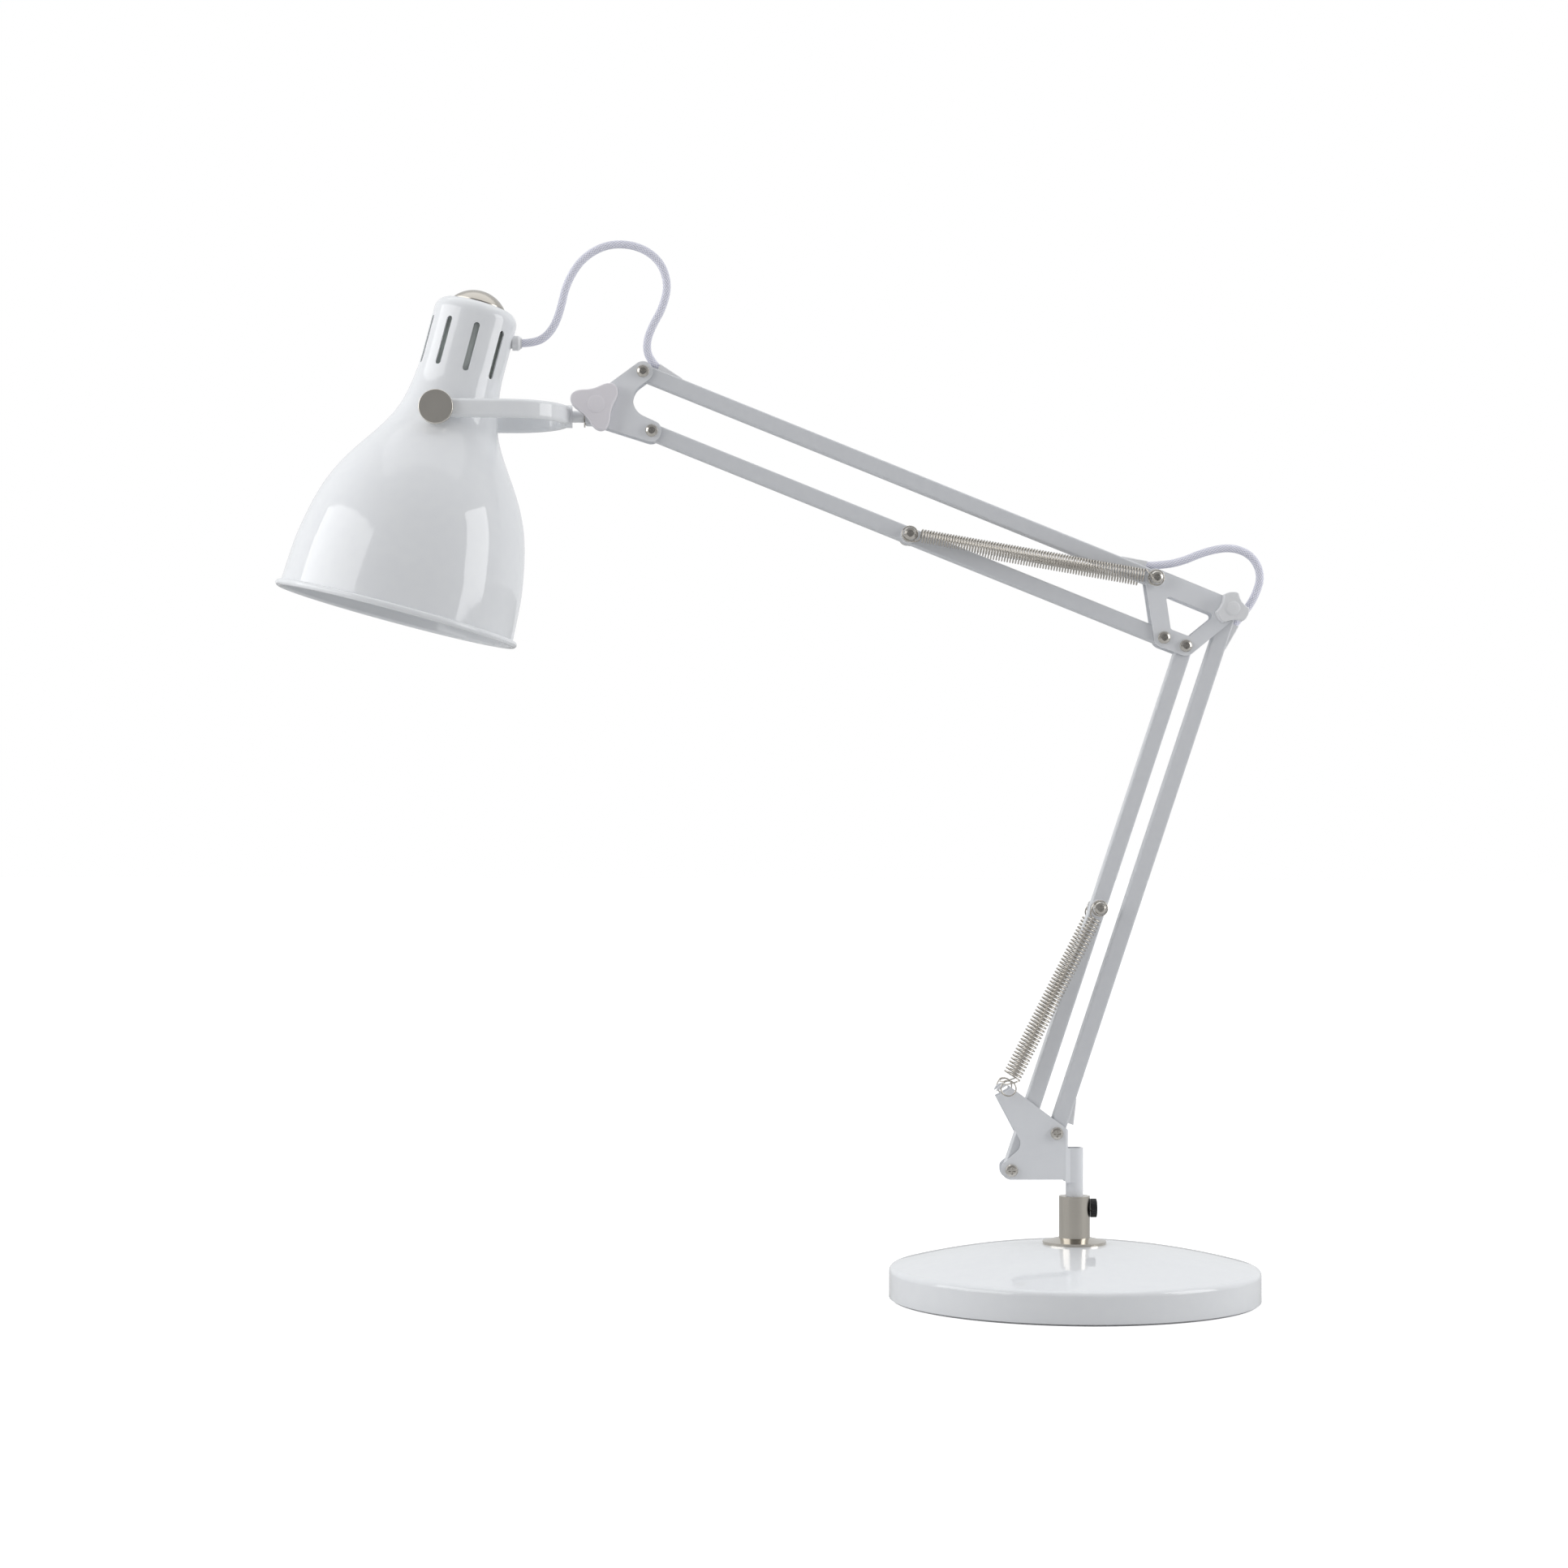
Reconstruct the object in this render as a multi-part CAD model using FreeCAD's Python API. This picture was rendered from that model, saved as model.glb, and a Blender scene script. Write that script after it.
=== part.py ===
"""Swing arm desk lamp: weighted round base, two sprung parallelogram arms, tilting shade.

The arms lie in the XZ plane: +X is away from the shade, +Z is up, -Y is the near side.
The origin is the centre of the base's underside. All lengths are in millimetres.
"""
import FreeCAD
import Part
import math
import os

V = FreeCAD.Vector
ORIGIN = V(0, 0, 0)
ALONG_X = V(1, 0, 0)
ALONG_Y = V(0, 1, 0)
ALONG_Z = V(0, 0, 1)

# ---------------------------------------------------------------- driving dimensions
running_clearance = 0.05      # radial play of a pin or sleeve in its bore
open_pivot_clearance = 0.15   # radial play where each parallelogram is closed
seat_gap = 0.3                # space between pieces that pass each other

# base
base_r = 115.0
base_height = 34.5            # flat top, where the socket stands
base_side_height = 19.7       # where the side wall meets the dome
base_edge_r = 3.5
cover_wall = 1.5
cover_lift = 1.2              # the cover's lower edge above the table
pad_height = 2.4
weight_thickness = 10.0
weight_boss_r = 17.0
flange_r = 19.7
flange_rim = 1.7
flange_height = 3.8

# socket, stem and thumbscrew
socket_r = 9.6
socket_height = 25.8
socket_floor = 3.0
socket_stud_r = 5.0
stem_r = 5.4
thumbscrew_drop = 7.6         # its axis below the socket's mouth
thumbscrew_knob_r = 5.8
thumbscrew_knob_length = 3.6
thumbscrew_stud_r = 2.0
stud_gap = 1.0                # the screw stands a turn and a half off the stem

# sheet metal and bars
sheet = 1.4
bar_size = 10.0
bar_wall = 1.0
bar_corner_r = 1.3
side_gap = 0.6                # between a bar's side and the plate beside it
arm_length = 343.0            # between pivots, the same for all four bars

# arm geometry at rest
foot_right_x = -11.9
foot_right_z = 103.3
lower_link = 36.2
lower_link_angle = 39.3
lower_arm_angle = 71.6
elbow_offset_x = -13.6        # from the lower left bar's top pivot to the upper bottom bar's
elbow_offset_z = 5.1
upper_link = 37.2
upper_link_angle = 98.5
upper_arm_angle = 158.4

# pivot hardware
bolt_r = 2.0
sleeve_r = 3.2
screw_head_r = 3.9
screw_head_height = 2.6
nut_flat = 7.0
nut_height = 3.2
lobe_r = 6.2
knob_gap = 0.4

# springs
spring_anchor = 171.0         # from the pivot along the bar
spring_r = 4.4
spring_wall = 0.7
spring_ring_r = 4.7
spring_wire_r = 0.55
spring_stand_off = 5.0        # spring axis from the plates' outer faces
spool_flange_r = 5.4
spool_core_r = 3.3
spool_reach = 6.4             # from the plates' outer faces to the screw head

# knobs
head_knob_r = 12.69
head_knob_lobe = 3.35
head_knob_crisp = 0.46
head_knob_turn = 44.0
head_knob_height = 7.6
elbow_knob_r = 10.2
elbow_knob_waist = 7.0
elbow_knob_scallop_r = 13.25
elbow_knob_turn = 95.0
elbow_knob_height = 8.6

# head joint and yoke
tilt_axis_dx = -28.6          # tilting knob's axis from the upper head pivot
tilt_axis_dz = -21.5
stub_drop = 6.2               # stub shaft's axis below the tilting knob's axis
block_reach = 6.9             # pivot block's front face from the tilt axis
block_depth = 6.8             # its back face from the tilt axis
stub_length = 11.5
stub_r = 3.65
stub_pin_r = 2.4
stub_washer_r = 6.6
stub_washer_thickness = 0.8
stub_washer_play = 0.1
stub_rivet_r = 3.6
stub_rivet_height = 1.3
yoke_side_room = 9.6          # from the shade's neck to the middle of the yoke's arm
yoke_arm_length = 42.7
yoke_section_height = 11.6
yoke_section_width = 5.0
yoke_section_r = 2.4
yoke_eye_r = 6.4
yoke_eye_relief = 0.6         # the eye's inner face is set back from the arm's
trunnion_r = 2.9
trunnion_disc_r = 10.5
trunnion_disc_thickness = 3.6

# shade, measured along its own axis from the trunnions
shade_tilt = 14.5
shade_offset = 5.5            # shade's axis from the trunnions
shade_wall = 1.0
neck_r = 26.0
trunnion_share = 0.1092
bell_shares = [               # share of the flare from neck to mouth, and height
    (0, 34.0), (0.0336, 16.0), (trunnion_share, 0), (0.4748, -30.0), (0.8004, -60.0), (0.9433, -90.0),
]
shade_top = 72.3
shoulder_r = 8.0
mouth_drop = 125.8
mouth_r = 73.6
rim_bead_r = 2.0
vent_count = 8
vent_width = 3.7
vent_length = 30.6
vent_height = 43.0            # middle of the vents above the trunnions
cap_r = 16.5
cap_rise = 8.0
gland_height = 55.0
gland_r = 4.6
gland_length = 6.0
gland_pitch = 14.5            # lifts the gland so that the cord leaves level

# lampholder
holder_r = 22.0
holder_length = 46.0
thread_r = 13.9

# cord
cord_r = 2.5
hood_length = 16.0
hood_mouth = 9.0              # mouth of a cord hood from the bar's pivot
hood_height = 3.9
hood_width = 6.8
cord_over_bar = 0.5           # cord's axis above the bar's face at the mouth
cord_entry = 22.0             # where the cord reaches the bar's axis
head_loop = [                 # from the upper head pivot, across and up
    (-61.9, 20.2), (-55.1, 28.0), (-50.9, 40.0), (-47.8, 55.0), (-38.3, 71.0), (-22.3, 80.3),
    (-3.8, 79.5), (10.2, 70.5), (15.7, 55.5), (12.1, 40.5), (5.6, 29.2), (1.8, 17.9),
]
elbow_loop = [                # from the right elbow pivot
    (-30.4, 29.7), (-14.4, 36.7), (2.1, 39.6), (15.1, 34.2), (20.8, 22.0), (17.0, 9.4),
]


# ---------------------------------------------------------------- places in the arm plane
def polar(length, degrees):
    """Vector of this length in the arm plane, turned up from +X."""
    angle = math.radians(degrees)
    return V(length * math.cos(angle), 0, length * math.sin(angle))


foot_right = V(foot_right_x, 0, foot_right_z)
foot_left = foot_right - polar(lower_link, lower_link_angle)
elbow_right = foot_right + polar(arm_length, lower_arm_angle)
elbow_left = foot_left + polar(arm_length, lower_arm_angle)
upper_low = elbow_left + V(elbow_offset_x, 0, elbow_offset_z)
upper_high = upper_low + polar(upper_link, upper_link_angle)
head_high = upper_high + polar(arm_length, upper_arm_angle)
head_low = upper_low + polar(arm_length, upper_arm_angle)
upper_anchor = upper_low + polar(spring_anchor, upper_arm_angle)
lower_anchor = foot_left + polar(spring_anchor, lower_arm_angle)
tilt_axis = head_high + V(tilt_axis_dx, 0, tilt_axis_dz)
stub_axis_z = tilt_axis.z - stub_drop
block_front = tilt_axis.x - block_reach
block_back = tilt_axis.x + block_depth
yoke_front = block_front - stub_length
yoke_half_width = neck_r + yoke_side_room
trunnion = V(yoke_front - yoke_half_width - yoke_arm_length, 0, stub_axis_z)

bar_half = bar_size / 2
plate_in = bar_half + side_gap
plate_out = plate_in + sheet
spring_side = plate_out + spring_stand_off
spool_length = plate_out + spool_reach
cord_rise = bar_half + cord_over_bar
flange_top = base_height + flange_height
socket_top = flange_top + socket_height
stem_bottom = flange_top + socket_floor + seat_gap
thumbscrew_z = socket_top - thumbscrew_drop
spring_hook = foot_left + V(-2.6, 0, 51.0)


# ---------------------------------------------------------------- shape helpers
def save(name, *solids):
    """Write one node: one solid, or a group of separate solids."""
    shape = solids[0] if len(solids) == 1 else Part.makeCompound(list(solids))
    shape.exportStep("parts/" + name + ".step")


def rod(centre, radius, y_from, y_to):
    """Round bar across the arm plane."""
    start = V(centre.x, y_from, centre.z)
    return Part.makeCylinder(radius, y_to - y_from, start, ALONG_Y)


def sleeve(centre, outer_r, inner_r, y_from, y_to):
    return rod(centre, outer_r, y_from, y_to).cut(rod(centre, inner_r, y_from, y_to))


def far_copy(shape):
    """The same piece on the far side of the arm plane."""
    return shape.mirror(ORIGIN, ALONG_Y)


def rounded_outline(corners):
    """Closed wire in the arm plane from (point, corner radius) pairs."""
    stretches = []
    count = len(corners)
    for index, (corner, radius) in enumerate(corners):
        before = (corners[index - 1][0] - corner).normalize()
        after = (corners[(index + 1) % count][0] - corner).normalize()
        half = before.getAngle(after) / 2
        inset = radius / math.tan(half)
        middle = corner + (before + after).normalize() * (radius / math.sin(half) - radius)
        stretches.append((corner + before * inset, middle, corner + after * inset))
    edges = []
    for index, (start, middle, end) in enumerate(stretches):
        if corners[index][1] > 0:
            edges.append(Part.Arc(start, middle, end).toShape())
        following = stretches[(index + 1) % count][0]
        if end.distanceToPoint(following) > 1e-6:
            edges.append(Part.LineSegment(end, following).toShape())
    return Part.Wire(edges)


def slab(corners, y_from, y_to):
    """Plate with a rounded outline, between two distances from the arm plane."""
    face = Part.Face(rounded_outline(corners))
    face.translate(V(0, y_from, 0))
    return face.extrude(V(0, y_to - y_from, 0))


def crossing(point_a, along_a, point_b, along_b):
    """Where two lines of the arm plane cross."""
    gap = point_b - point_a
    area = along_a.x * along_b.z - along_a.z * along_b.x
    reach = (gap.x * along_b.z - gap.z * along_b.x) / area
    return point_a + along_a * reach


def offset_corners(points, offsets, radius):
    """Corners of a clockwise polygon whose sides are moved outwards, with one corner radius."""
    lines = []
    for index, point in enumerate(points):
        along = (points[(index + 1) % len(points)] - point).normalize()
        outward = V(-along.z, 0, along.x)
        lines.append((point + outward * offsets[index], along))
    corners = []
    for index in range(len(points)):
        corners.append((crossing(*lines[index - 1], *lines[index]), radius))
    return corners


def capsule(start, end, radius, y_from, y_to):
    """Slab with two parallel sides and a full round about each end point."""
    along = (end - start).normalize()
    side = V(-along.z, 0, along.x)
    corners = [
        (start + (side - along) * radius, radius),
        (end + (side + along) * radius, radius),
        (end + (along - side) * radius, radius),
        (start - (side + along) * radius, radius),
    ]
    return slab(corners, y_from, y_to)


def turned(points):
    """Solid of revolution about Z from (radius, height) points joined by straight lines."""
    corners = [V(radius, 0, height) for radius, height in points]
    wire = Part.makePolygon(corners + [corners[0]])
    return Part.Face(wire).revolve(ORIGIN, ALONG_Z, 360)


def across(shape, centre, y_from, outward):
    """Stand a piece turned about Z on the plane y_from, pointing to +Y or -Y."""
    moved = shape.copy()
    moved.rotate(ORIGIN, ALONG_X, 90 if outward < 0 else -90)
    moved.translate(V(centre.x, y_from, centre.z))
    return moved


def edges_at_height(shape, height):
    """Edges that lie wholly in one horizontal plane."""
    return [e for e in shape.Edges
            if abs(e.BoundBox.ZMin - height) < 1e-3 and abs(e.BoundBox.ZMax - height) < 1e-3]


# ---------------------------------------------------------------- cords
def cord_path(points):
    """Straight runs joined by tangent arcs, each as large as its two runs allow."""
    edges = []
    radii = []
    last = points[0]
    for index in range(1, len(points) - 1):
        corner = points[index]
        before = points[index - 1] - corner
        after = points[index + 1] - corner
        run = min(before.Length, after.Length)
        half_turn = (math.pi - before.getAngle(after)) / 2
        inset = 0.45 * run
        radius = inset / math.tan(half_turn)
        before = before.normalize()
        after = after.normalize()
        start = corner + before * inset
        end = corner + after * inset
        sagitta = radius / math.cos(half_turn) - radius
        middle = corner + (before + after).normalize() * sagitta
        edges.append(Part.LineSegment(last, start).toShape())
        edges.append(Part.Arc(start, middle, end).toShape())
        radii.append(radius)
        last = end
    edges.append(Part.LineSegment(last, points[-1]).toShape())
    return Part.Wire(edges), radii


def cord_tube(points, radius):
    path, radii = cord_path(points)
    along = (points[1] - points[0]).normalize()
    section = Part.Wire([Part.makeCircle(radius, points[0], along)])
    return path.makePipeShell([section], True, False), path.Length, radii


def report_cord(name, tube, length, radii):
    wanted = math.pi * cord_r ** 2 * length
    smallest = ", ".join("%.0f" % r for r in radii)
    print("%s: %.1f mm long, arc radii %s mm, volume %.4f of section x length"
          % (name, length, smallest, tube.Volume / wanted))


# ---------------------------------------------------------------- fasteners
def pan_screw(head_r, head_height, length):
    """Cross-recess pan head standing on z = 0, with its shank running down."""
    dome = turned([(0, 0), (head_r, 0), (head_r, head_height * 0.45), (head_r * 0.86, head_height * 0.8),
                   (head_r * 0.55, head_height), (0, head_height)])
    slot_length = head_r * 1.15
    slot_width = head_r * 0.26
    recess_floor = head_height * 0.3
    for first, second in ((slot_length, slot_width), (slot_width, slot_length)):
        corner = V(-first / 2, -second / 2, recess_floor)
        dome = dome.cut(Part.makeBox(first, second, head_height, corner))
    shank = Part.makeCylinder(bolt_r, length, V(0, 0, -length))
    return dome.fuse(shank).removeSplitter()


def hex_nut(flat, height, bore_r):
    corner_r = flat / math.sqrt(3)
    corners = [V(corner_r * math.cos(math.radians(60 * k)), corner_r * math.sin(math.radians(60 * k)), 0)
               for k in range(7)]
    body = Part.Face(Part.makePolygon(corners)).extrude(V(0, 0, height))
    return body.cut(Part.makeCylinder(bore_r, height))


def pivot_screw(centre, seat):
    """Screw from the near side through both plates, ending in a nut on the far side."""
    screw = pan_screw(screw_head_r, screw_head_height, 2 * seat + nut_height + 0.6)
    return across(screw, centre, -seat, -1)


def pivot_nut(centre, seat):
    return across(hex_nut(nut_flat, nut_height, bolt_r), centre, seat, 1)


def pivot_sleeve(centre):
    return sleeve(centre, sleeve_r, bolt_r + running_clearance, -plate_in, plate_in)


def spring_spools(centre, seat):
    """Pair of flanged spools that hold the spring rings off the bar or plate."""
    flange = seat + 1.8
    spool = sleeve(centre, spool_flange_r, bolt_r + running_clearance, -flange, -seat)
    core = sleeve(centre, spool_core_r, bolt_r + running_clearance, -spool_length, -flange)
    near = spool.fuse(core).removeSplitter()
    return near, far_copy(near)


# ---------------------------------------------------------------- base
def dome_solid(radius, flat_top, side_height, edge_r, floor):
    """Solid round body with a straight side, a rounded edge and a shallow dome."""
    flat_r = flange_r + 1.5
    rise = flat_top - side_height
    middle_r = (flat_r + radius) / 2
    # a shallow arc: its height falls with the square of the radius
    middle_z = flat_top - rise * (middle_r ** 2 - flat_r ** 2) / (radius ** 2 - flat_r ** 2)
    axis_top = V(0, 0, flat_top)
    flat_edge = V(flat_r, 0, flat_top)
    shoulder = V(radius, 0, side_height)
    foot = V(radius, 0, floor)
    axis_foot = V(0, 0, floor)
    edges = [
        Part.LineSegment(axis_top, flat_edge).toShape(),
        Part.Arc(flat_edge, V(middle_r, 0, middle_z), shoulder).toShape(),
        Part.LineSegment(shoulder, foot).toShape(),
        Part.LineSegment(foot, axis_foot).toShape(),
        Part.LineSegment(axis_foot, axis_top).toShape(),
    ]
    solid = Part.Face(Part.Wire(edges)).revolve(ORIGIN, ALONG_Z, 360)
    return solid.makeFillet(edge_r, edges_at_height(solid, side_height))


def make_base():
    stud_hole = Part.makeCylinder(socket_stud_r + running_clearance, base_height)
    outside = dome_solid(base_r, base_height, base_side_height, base_edge_r, cover_lift)
    inside = dome_solid(base_r - cover_wall, base_height - cover_wall, base_side_height - cover_wall,
                        base_edge_r - cover_wall, 0)
    save("base_cover", outside.cut(inside).cut(stud_hole))

    inner_r = base_r - cover_wall
    save("base_pad", Part.makeCylinder(inner_r - 0.2, pad_height))

    weight = turned([(socket_stud_r + running_clearance, pad_height), (inner_r - 1.5, pad_height),
                     (inner_r - 1.5, pad_height + weight_thickness),
                     (weight_boss_r + 4, pad_height + weight_thickness),
                     (weight_boss_r, base_height - cover_wall),
                     (socket_stud_r + running_clearance, base_height - cover_wall)])
    nut_pocket_r = 12.0
    nut_pocket_depth = 8.0
    pocket = Part.makeCylinder(nut_pocket_r, nut_pocket_depth, V(0, 0, pad_height))
    save("base_weight", weight.cut(pocket))

    flange = turned([(socket_stud_r + running_clearance, base_height), (flange_r, base_height),
                     (flange_r, base_height + flange_rim), (socket_r + 0.6, flange_top),
                     (socket_stud_r + running_clearance, flange_top)])
    save("socket_flange", flange)

    nut_top = pad_height + nut_pocket_depth
    base_nut_height = 6.0
    lead_in = 0.8
    bore_r = stem_r + running_clearance
    tube = turned([(0, flange_top), (socket_r, flange_top), (socket_r, socket_top),
                   (bore_r + lead_in, socket_top), (bore_r, socket_top - lead_in),
                   (bore_r, flange_top + socket_floor), (0, flange_top + socket_floor)])
    stud = Part.makeCylinder(socket_stud_r, flange_top - nut_top + base_nut_height,
                             V(0, 0, nut_top - base_nut_height))
    screw_hole = Part.makeCylinder(thumbscrew_stud_r + running_clearance, socket_r + 1,
                                   V(0, 0, thumbscrew_z), ALONG_X)
    save("socket_tube", tube.fuse(stud).removeSplitter().cut(screw_hole))

    nut = hex_nut(17.0, base_nut_height, socket_stud_r)
    nut.translate(V(0, 0, nut_top - base_nut_height))
    save("socket_nut", nut)


def make_thumbscrew():
    knob_start = socket_r + knob_gap
    knob = Part.makeCylinder(thumbscrew_knob_r, thumbscrew_knob_length,
                             V(knob_start, 0, thumbscrew_z), ALONG_X)
    knurls = 24
    for index in range(knurls):
        angle = 360.0 * index / knurls
        groove = Part.makeCylinder(0.45, thumbscrew_knob_length,
                                   V(knob_start, thumbscrew_knob_r + 0.1, thumbscrew_z), ALONG_X)
        groove.rotate(V(0, 0, thumbscrew_z), ALONG_X, angle)
        knob = knob.cut(groove)
    stud_end = knob_start + thumbscrew_knob_length - 1.2
    stud_start = stem_r + stud_gap
    stud = Part.makeCylinder(thumbscrew_stud_r, stud_end - stud_start,
                             V(stud_start, 0, thumbscrew_z), ALONG_X)
    save("thumbscrew_knob", knob.cut(stud))
    save("thumbscrew_stud", stud)


# ---------------------------------------------------------------- base bracket
def folded_sheet(z_from, z_to):
    """Two plates whose near edges close round the stem, as one folded sheet seen from above."""
    reach = -70.0
    bend_x = -6.2
    wrap_x = -3.2

    def plan(side_y, wrap_r):
        corners = [V(reach, side_y, z_from), V(bend_x, side_y, z_from), V(wrap_x, wrap_r, z_from),
                   V(0, wrap_r, z_from)]
        mirrored = [V(p.x, -p.y, p.z) for p in reversed(corners)]
        nose = Part.Arc(corners[-1], V(wrap_r, 0, z_from), mirrored[0]).toShape()
        sides = [Part.LineSegment(a, b).toShape() for a, b in zip(corners, corners[1:])]
        backs = [Part.LineSegment(a, b).toShape() for a, b in zip(mirrored, mirrored[1:])]
        tail = Part.LineSegment(mirrored[-1], corners[0]).toShape()
        return Part.Face(Part.Wire(sides + [nose] + backs + [tail])).extrude(V(0, 0, z_to - z_from))

    outer = plan(plate_out, stem_r)
    inner = plan(plate_in, stem_r - sheet)
    return outer.cut(inner)


def make_base_bracket():
    stem_top = foot_right.z - 9.3
    plate_floor = foot_left.z - lobe_r + 0.5
    outline = [
        (spring_hook + V(-17.3, 0, 14.8), 5.2),
        (foot_right + V(7.0, 0, 2.3), 1.5),
        (V(-4.9, 0, stem_top), 0.4),
        (V(stem_r + 3, 0, stem_top), 0),
        (V(stem_r + 3, 0, plate_floor - 2), 0),
        (V(-stem_r - 0.6, 0, plate_floor - 2), 0.6),
        (V(-stem_r - 1.8, 0, plate_floor), 0.6),
        (foot_left + V(-lobe_r, 0, 0.5 - lobe_r), lobe_r - 0.3),
        (foot_left + V(-lobe_r, 0, 3.6), 3.2),
        (foot_left + V(7.1, 0, 15.1), 6.5),
    ]
    body = folded_sheet(plate_floor - 2, spring_hook.z + 20)
    body = body.common(slab(outline, -plate_out - 1, plate_out + 1))
    stem_height = plate_floor - stem_bottom
    stem = Part.makeCylinder(stem_r, stem_height, V(0, 0, stem_bottom))
    stem = stem.cut(Part.makeCylinder(stem_r - sheet, stem_height, V(0, 0, stem_bottom)))
    body = body.fuse(stem).removeSplitter()
    hook_gap = capsule(spring_hook, spring_hook + V(-9, 0, -5), 1.5, -plate_out - 1, plate_out + 1)
    body = body.cut(hook_gap)
    for pivot in (foot_left, foot_right):
        body = body.cut(rod(pivot, bolt_r + running_clearance, -plate_out - 1, plate_out + 1))
    save("base_bracket", body)
    save("base_pivot_sleeves", pivot_sleeve(foot_left), pivot_sleeve(foot_right))
    save("base_pivot_screws", pivot_screw(foot_left, plate_out), pivot_screw(foot_right, plate_out))
    save("base_pivot_nuts", pivot_nut(foot_left, plate_out), pivot_nut(foot_right, plate_out))


# ---------------------------------------------------------------- bars
def place_on_bar(shape, start, end):
    """Move a piece drawn along +X from the origin onto the line between two pivots."""
    moved = shape.copy()
    along = end - start
    moved.rotate(ORIGIN, ALONG_Y, -math.degrees(math.atan2(along.z, along.x)))
    moved.translate(start)
    return moved


def plain_bar(start_play, end_play, extra_hole=None):
    """Square tube with round ends and a cross bore at each pivot."""
    length = arm_length + 2 * bar_half
    tube = Part.makeBox(length, bar_size, bar_size, V(-bar_half, -bar_half, -bar_half))
    long_edges = [e for e in tube.Edges if e.BoundBox.XLength > length / 2]
    tube = tube.makeFillet(bar_corner_r, long_edges)
    inner = bar_size - 2 * bar_wall
    tube = tube.cut(Part.makeBox(length, inner, inner, V(-bar_half, -inner / 2, -inner / 2)))
    tube = tube.common(capsule(ORIGIN, V(arm_length, 0, 0), bar_half, -bar_half, bar_half))
    tube = tube.cut(rod(ORIGIN, sleeve_r + start_play, -bar_half, bar_half))
    tube = tube.cut(rod(V(arm_length, 0, 0), sleeve_r + end_play, -bar_half, bar_half))
    if extra_hole is not None:
        tube = tube.cut(rod(V(extra_hole, 0, 0), bolt_r + running_clearance, -bar_half, bar_half))
    return tube


def bar_cord(closed_end):
    """Cord inside a bar: out of a hood at the start, and at the end unless it stops inside."""
    points = [V(hood_mouth, 0, cord_rise), V(cord_entry, 0, 0)]
    if closed_end:
        points += [V(arm_length - cord_entry - hood_length, 0, 0)]
    else:
        points += [V(arm_length - cord_entry, 0, 0), V(arm_length - hood_mouth, 0, cord_rise)]
    return cord_tube(points, cord_r)


def cord_passage():
    """Space that the cord needs from a hood's mouth down into the bar."""
    points = [V(hood_mouth - 4, 0, cord_rise * 1.3), V(hood_mouth, 0, cord_rise), V(cord_entry, 0, 0),
              V(cord_entry + 12, 0, 0)]
    return cord_tube(points, cord_r + 0.2)[0]


def cord_hood():
    """Wedge of plastic on the bar's outer face that guides the cord into the tube."""
    mouth = hood_mouth - 1
    corners = [
        (V(mouth, 0, bar_half), 0),
        (V(mouth + hood_length, 0, bar_half), 0),
        (V(mouth + hood_length, 0, bar_half + 0.6), 0),
        (V(mouth, 0, bar_half + hood_height), 0),
    ]
    wedge = slab(corners, -hood_width / 2, hood_width / 2)
    slanted = [e for e in wedge.Edges
               if e.BoundBox.XLength > hood_length / 2 and e.BoundBox.ZMax > bar_half + 0.7]
    return wedge.makeFillet(0.8, slanted).cut(cord_passage())


def other_end(shape):
    """The same piece at the far end of a bar that is drawn along +X."""
    return shape.mirror(V(arm_length / 2, 0, 0), ALONG_X)


def cord_bar():
    bar = plain_bar(running_clearance, running_clearance)
    slot_start = sleeve_r + 0.2
    slot = Part.makeBox(cord_entry + 2 - slot_start, 2 * cord_r + 0.6, bar_size,
                        V(slot_start, -cord_r - 0.3, 0))
    return bar.cut(slot).cut(other_end(slot))


def make_lower_bars():
    left = plain_bar(running_clearance, open_pivot_clearance, spring_anchor)
    save("lower_left_bar", place_on_bar(left, foot_left, elbow_left))
    save("lower_spring_spools", *spring_spools(lower_anchor, bar_half))
    save("lower_spring_bolt", pivot_screw(lower_anchor, spool_length))
    save("lower_spring_nut", pivot_nut(lower_anchor, spool_length))

    save("lower_right_bar", place_on_bar(cord_bar(), elbow_right, foot_right))
    save("lower_cord_hoods", place_on_bar(cord_hood(), elbow_right, foot_right),
         place_on_bar(other_end(cord_hood()), elbow_right, foot_right))
    tube, length, radii = bar_cord(closed_end=True)
    report_cord("lower_bar_cord", tube, length, radii)
    save("lower_bar_cord", place_on_bar(tube, elbow_right, foot_right))


def make_upper_bars():
    low = plain_bar(running_clearance, open_pivot_clearance, spring_anchor)
    save("upper_bottom_bar", place_on_bar(low, upper_low, head_low))
    save("upper_spring_spools", *spring_spools(upper_anchor, bar_half))
    save("upper_spring_bolt", pivot_screw(upper_anchor, spool_length))
    save("upper_spring_nut", pivot_nut(upper_anchor, spool_length))

    save("upper_top_bar", place_on_bar(cord_bar(), head_high, upper_high))
    save("upper_cord_hoods", place_on_bar(cord_hood(), head_high, upper_high),
         place_on_bar(other_end(cord_hood()), head_high, upper_high))
    tube, length, radii = bar_cord(closed_end=False)
    report_cord("upper_bar_cord", tube, length, radii)
    save("upper_bar_cord", place_on_bar(tube, head_high, upper_high))


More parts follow.
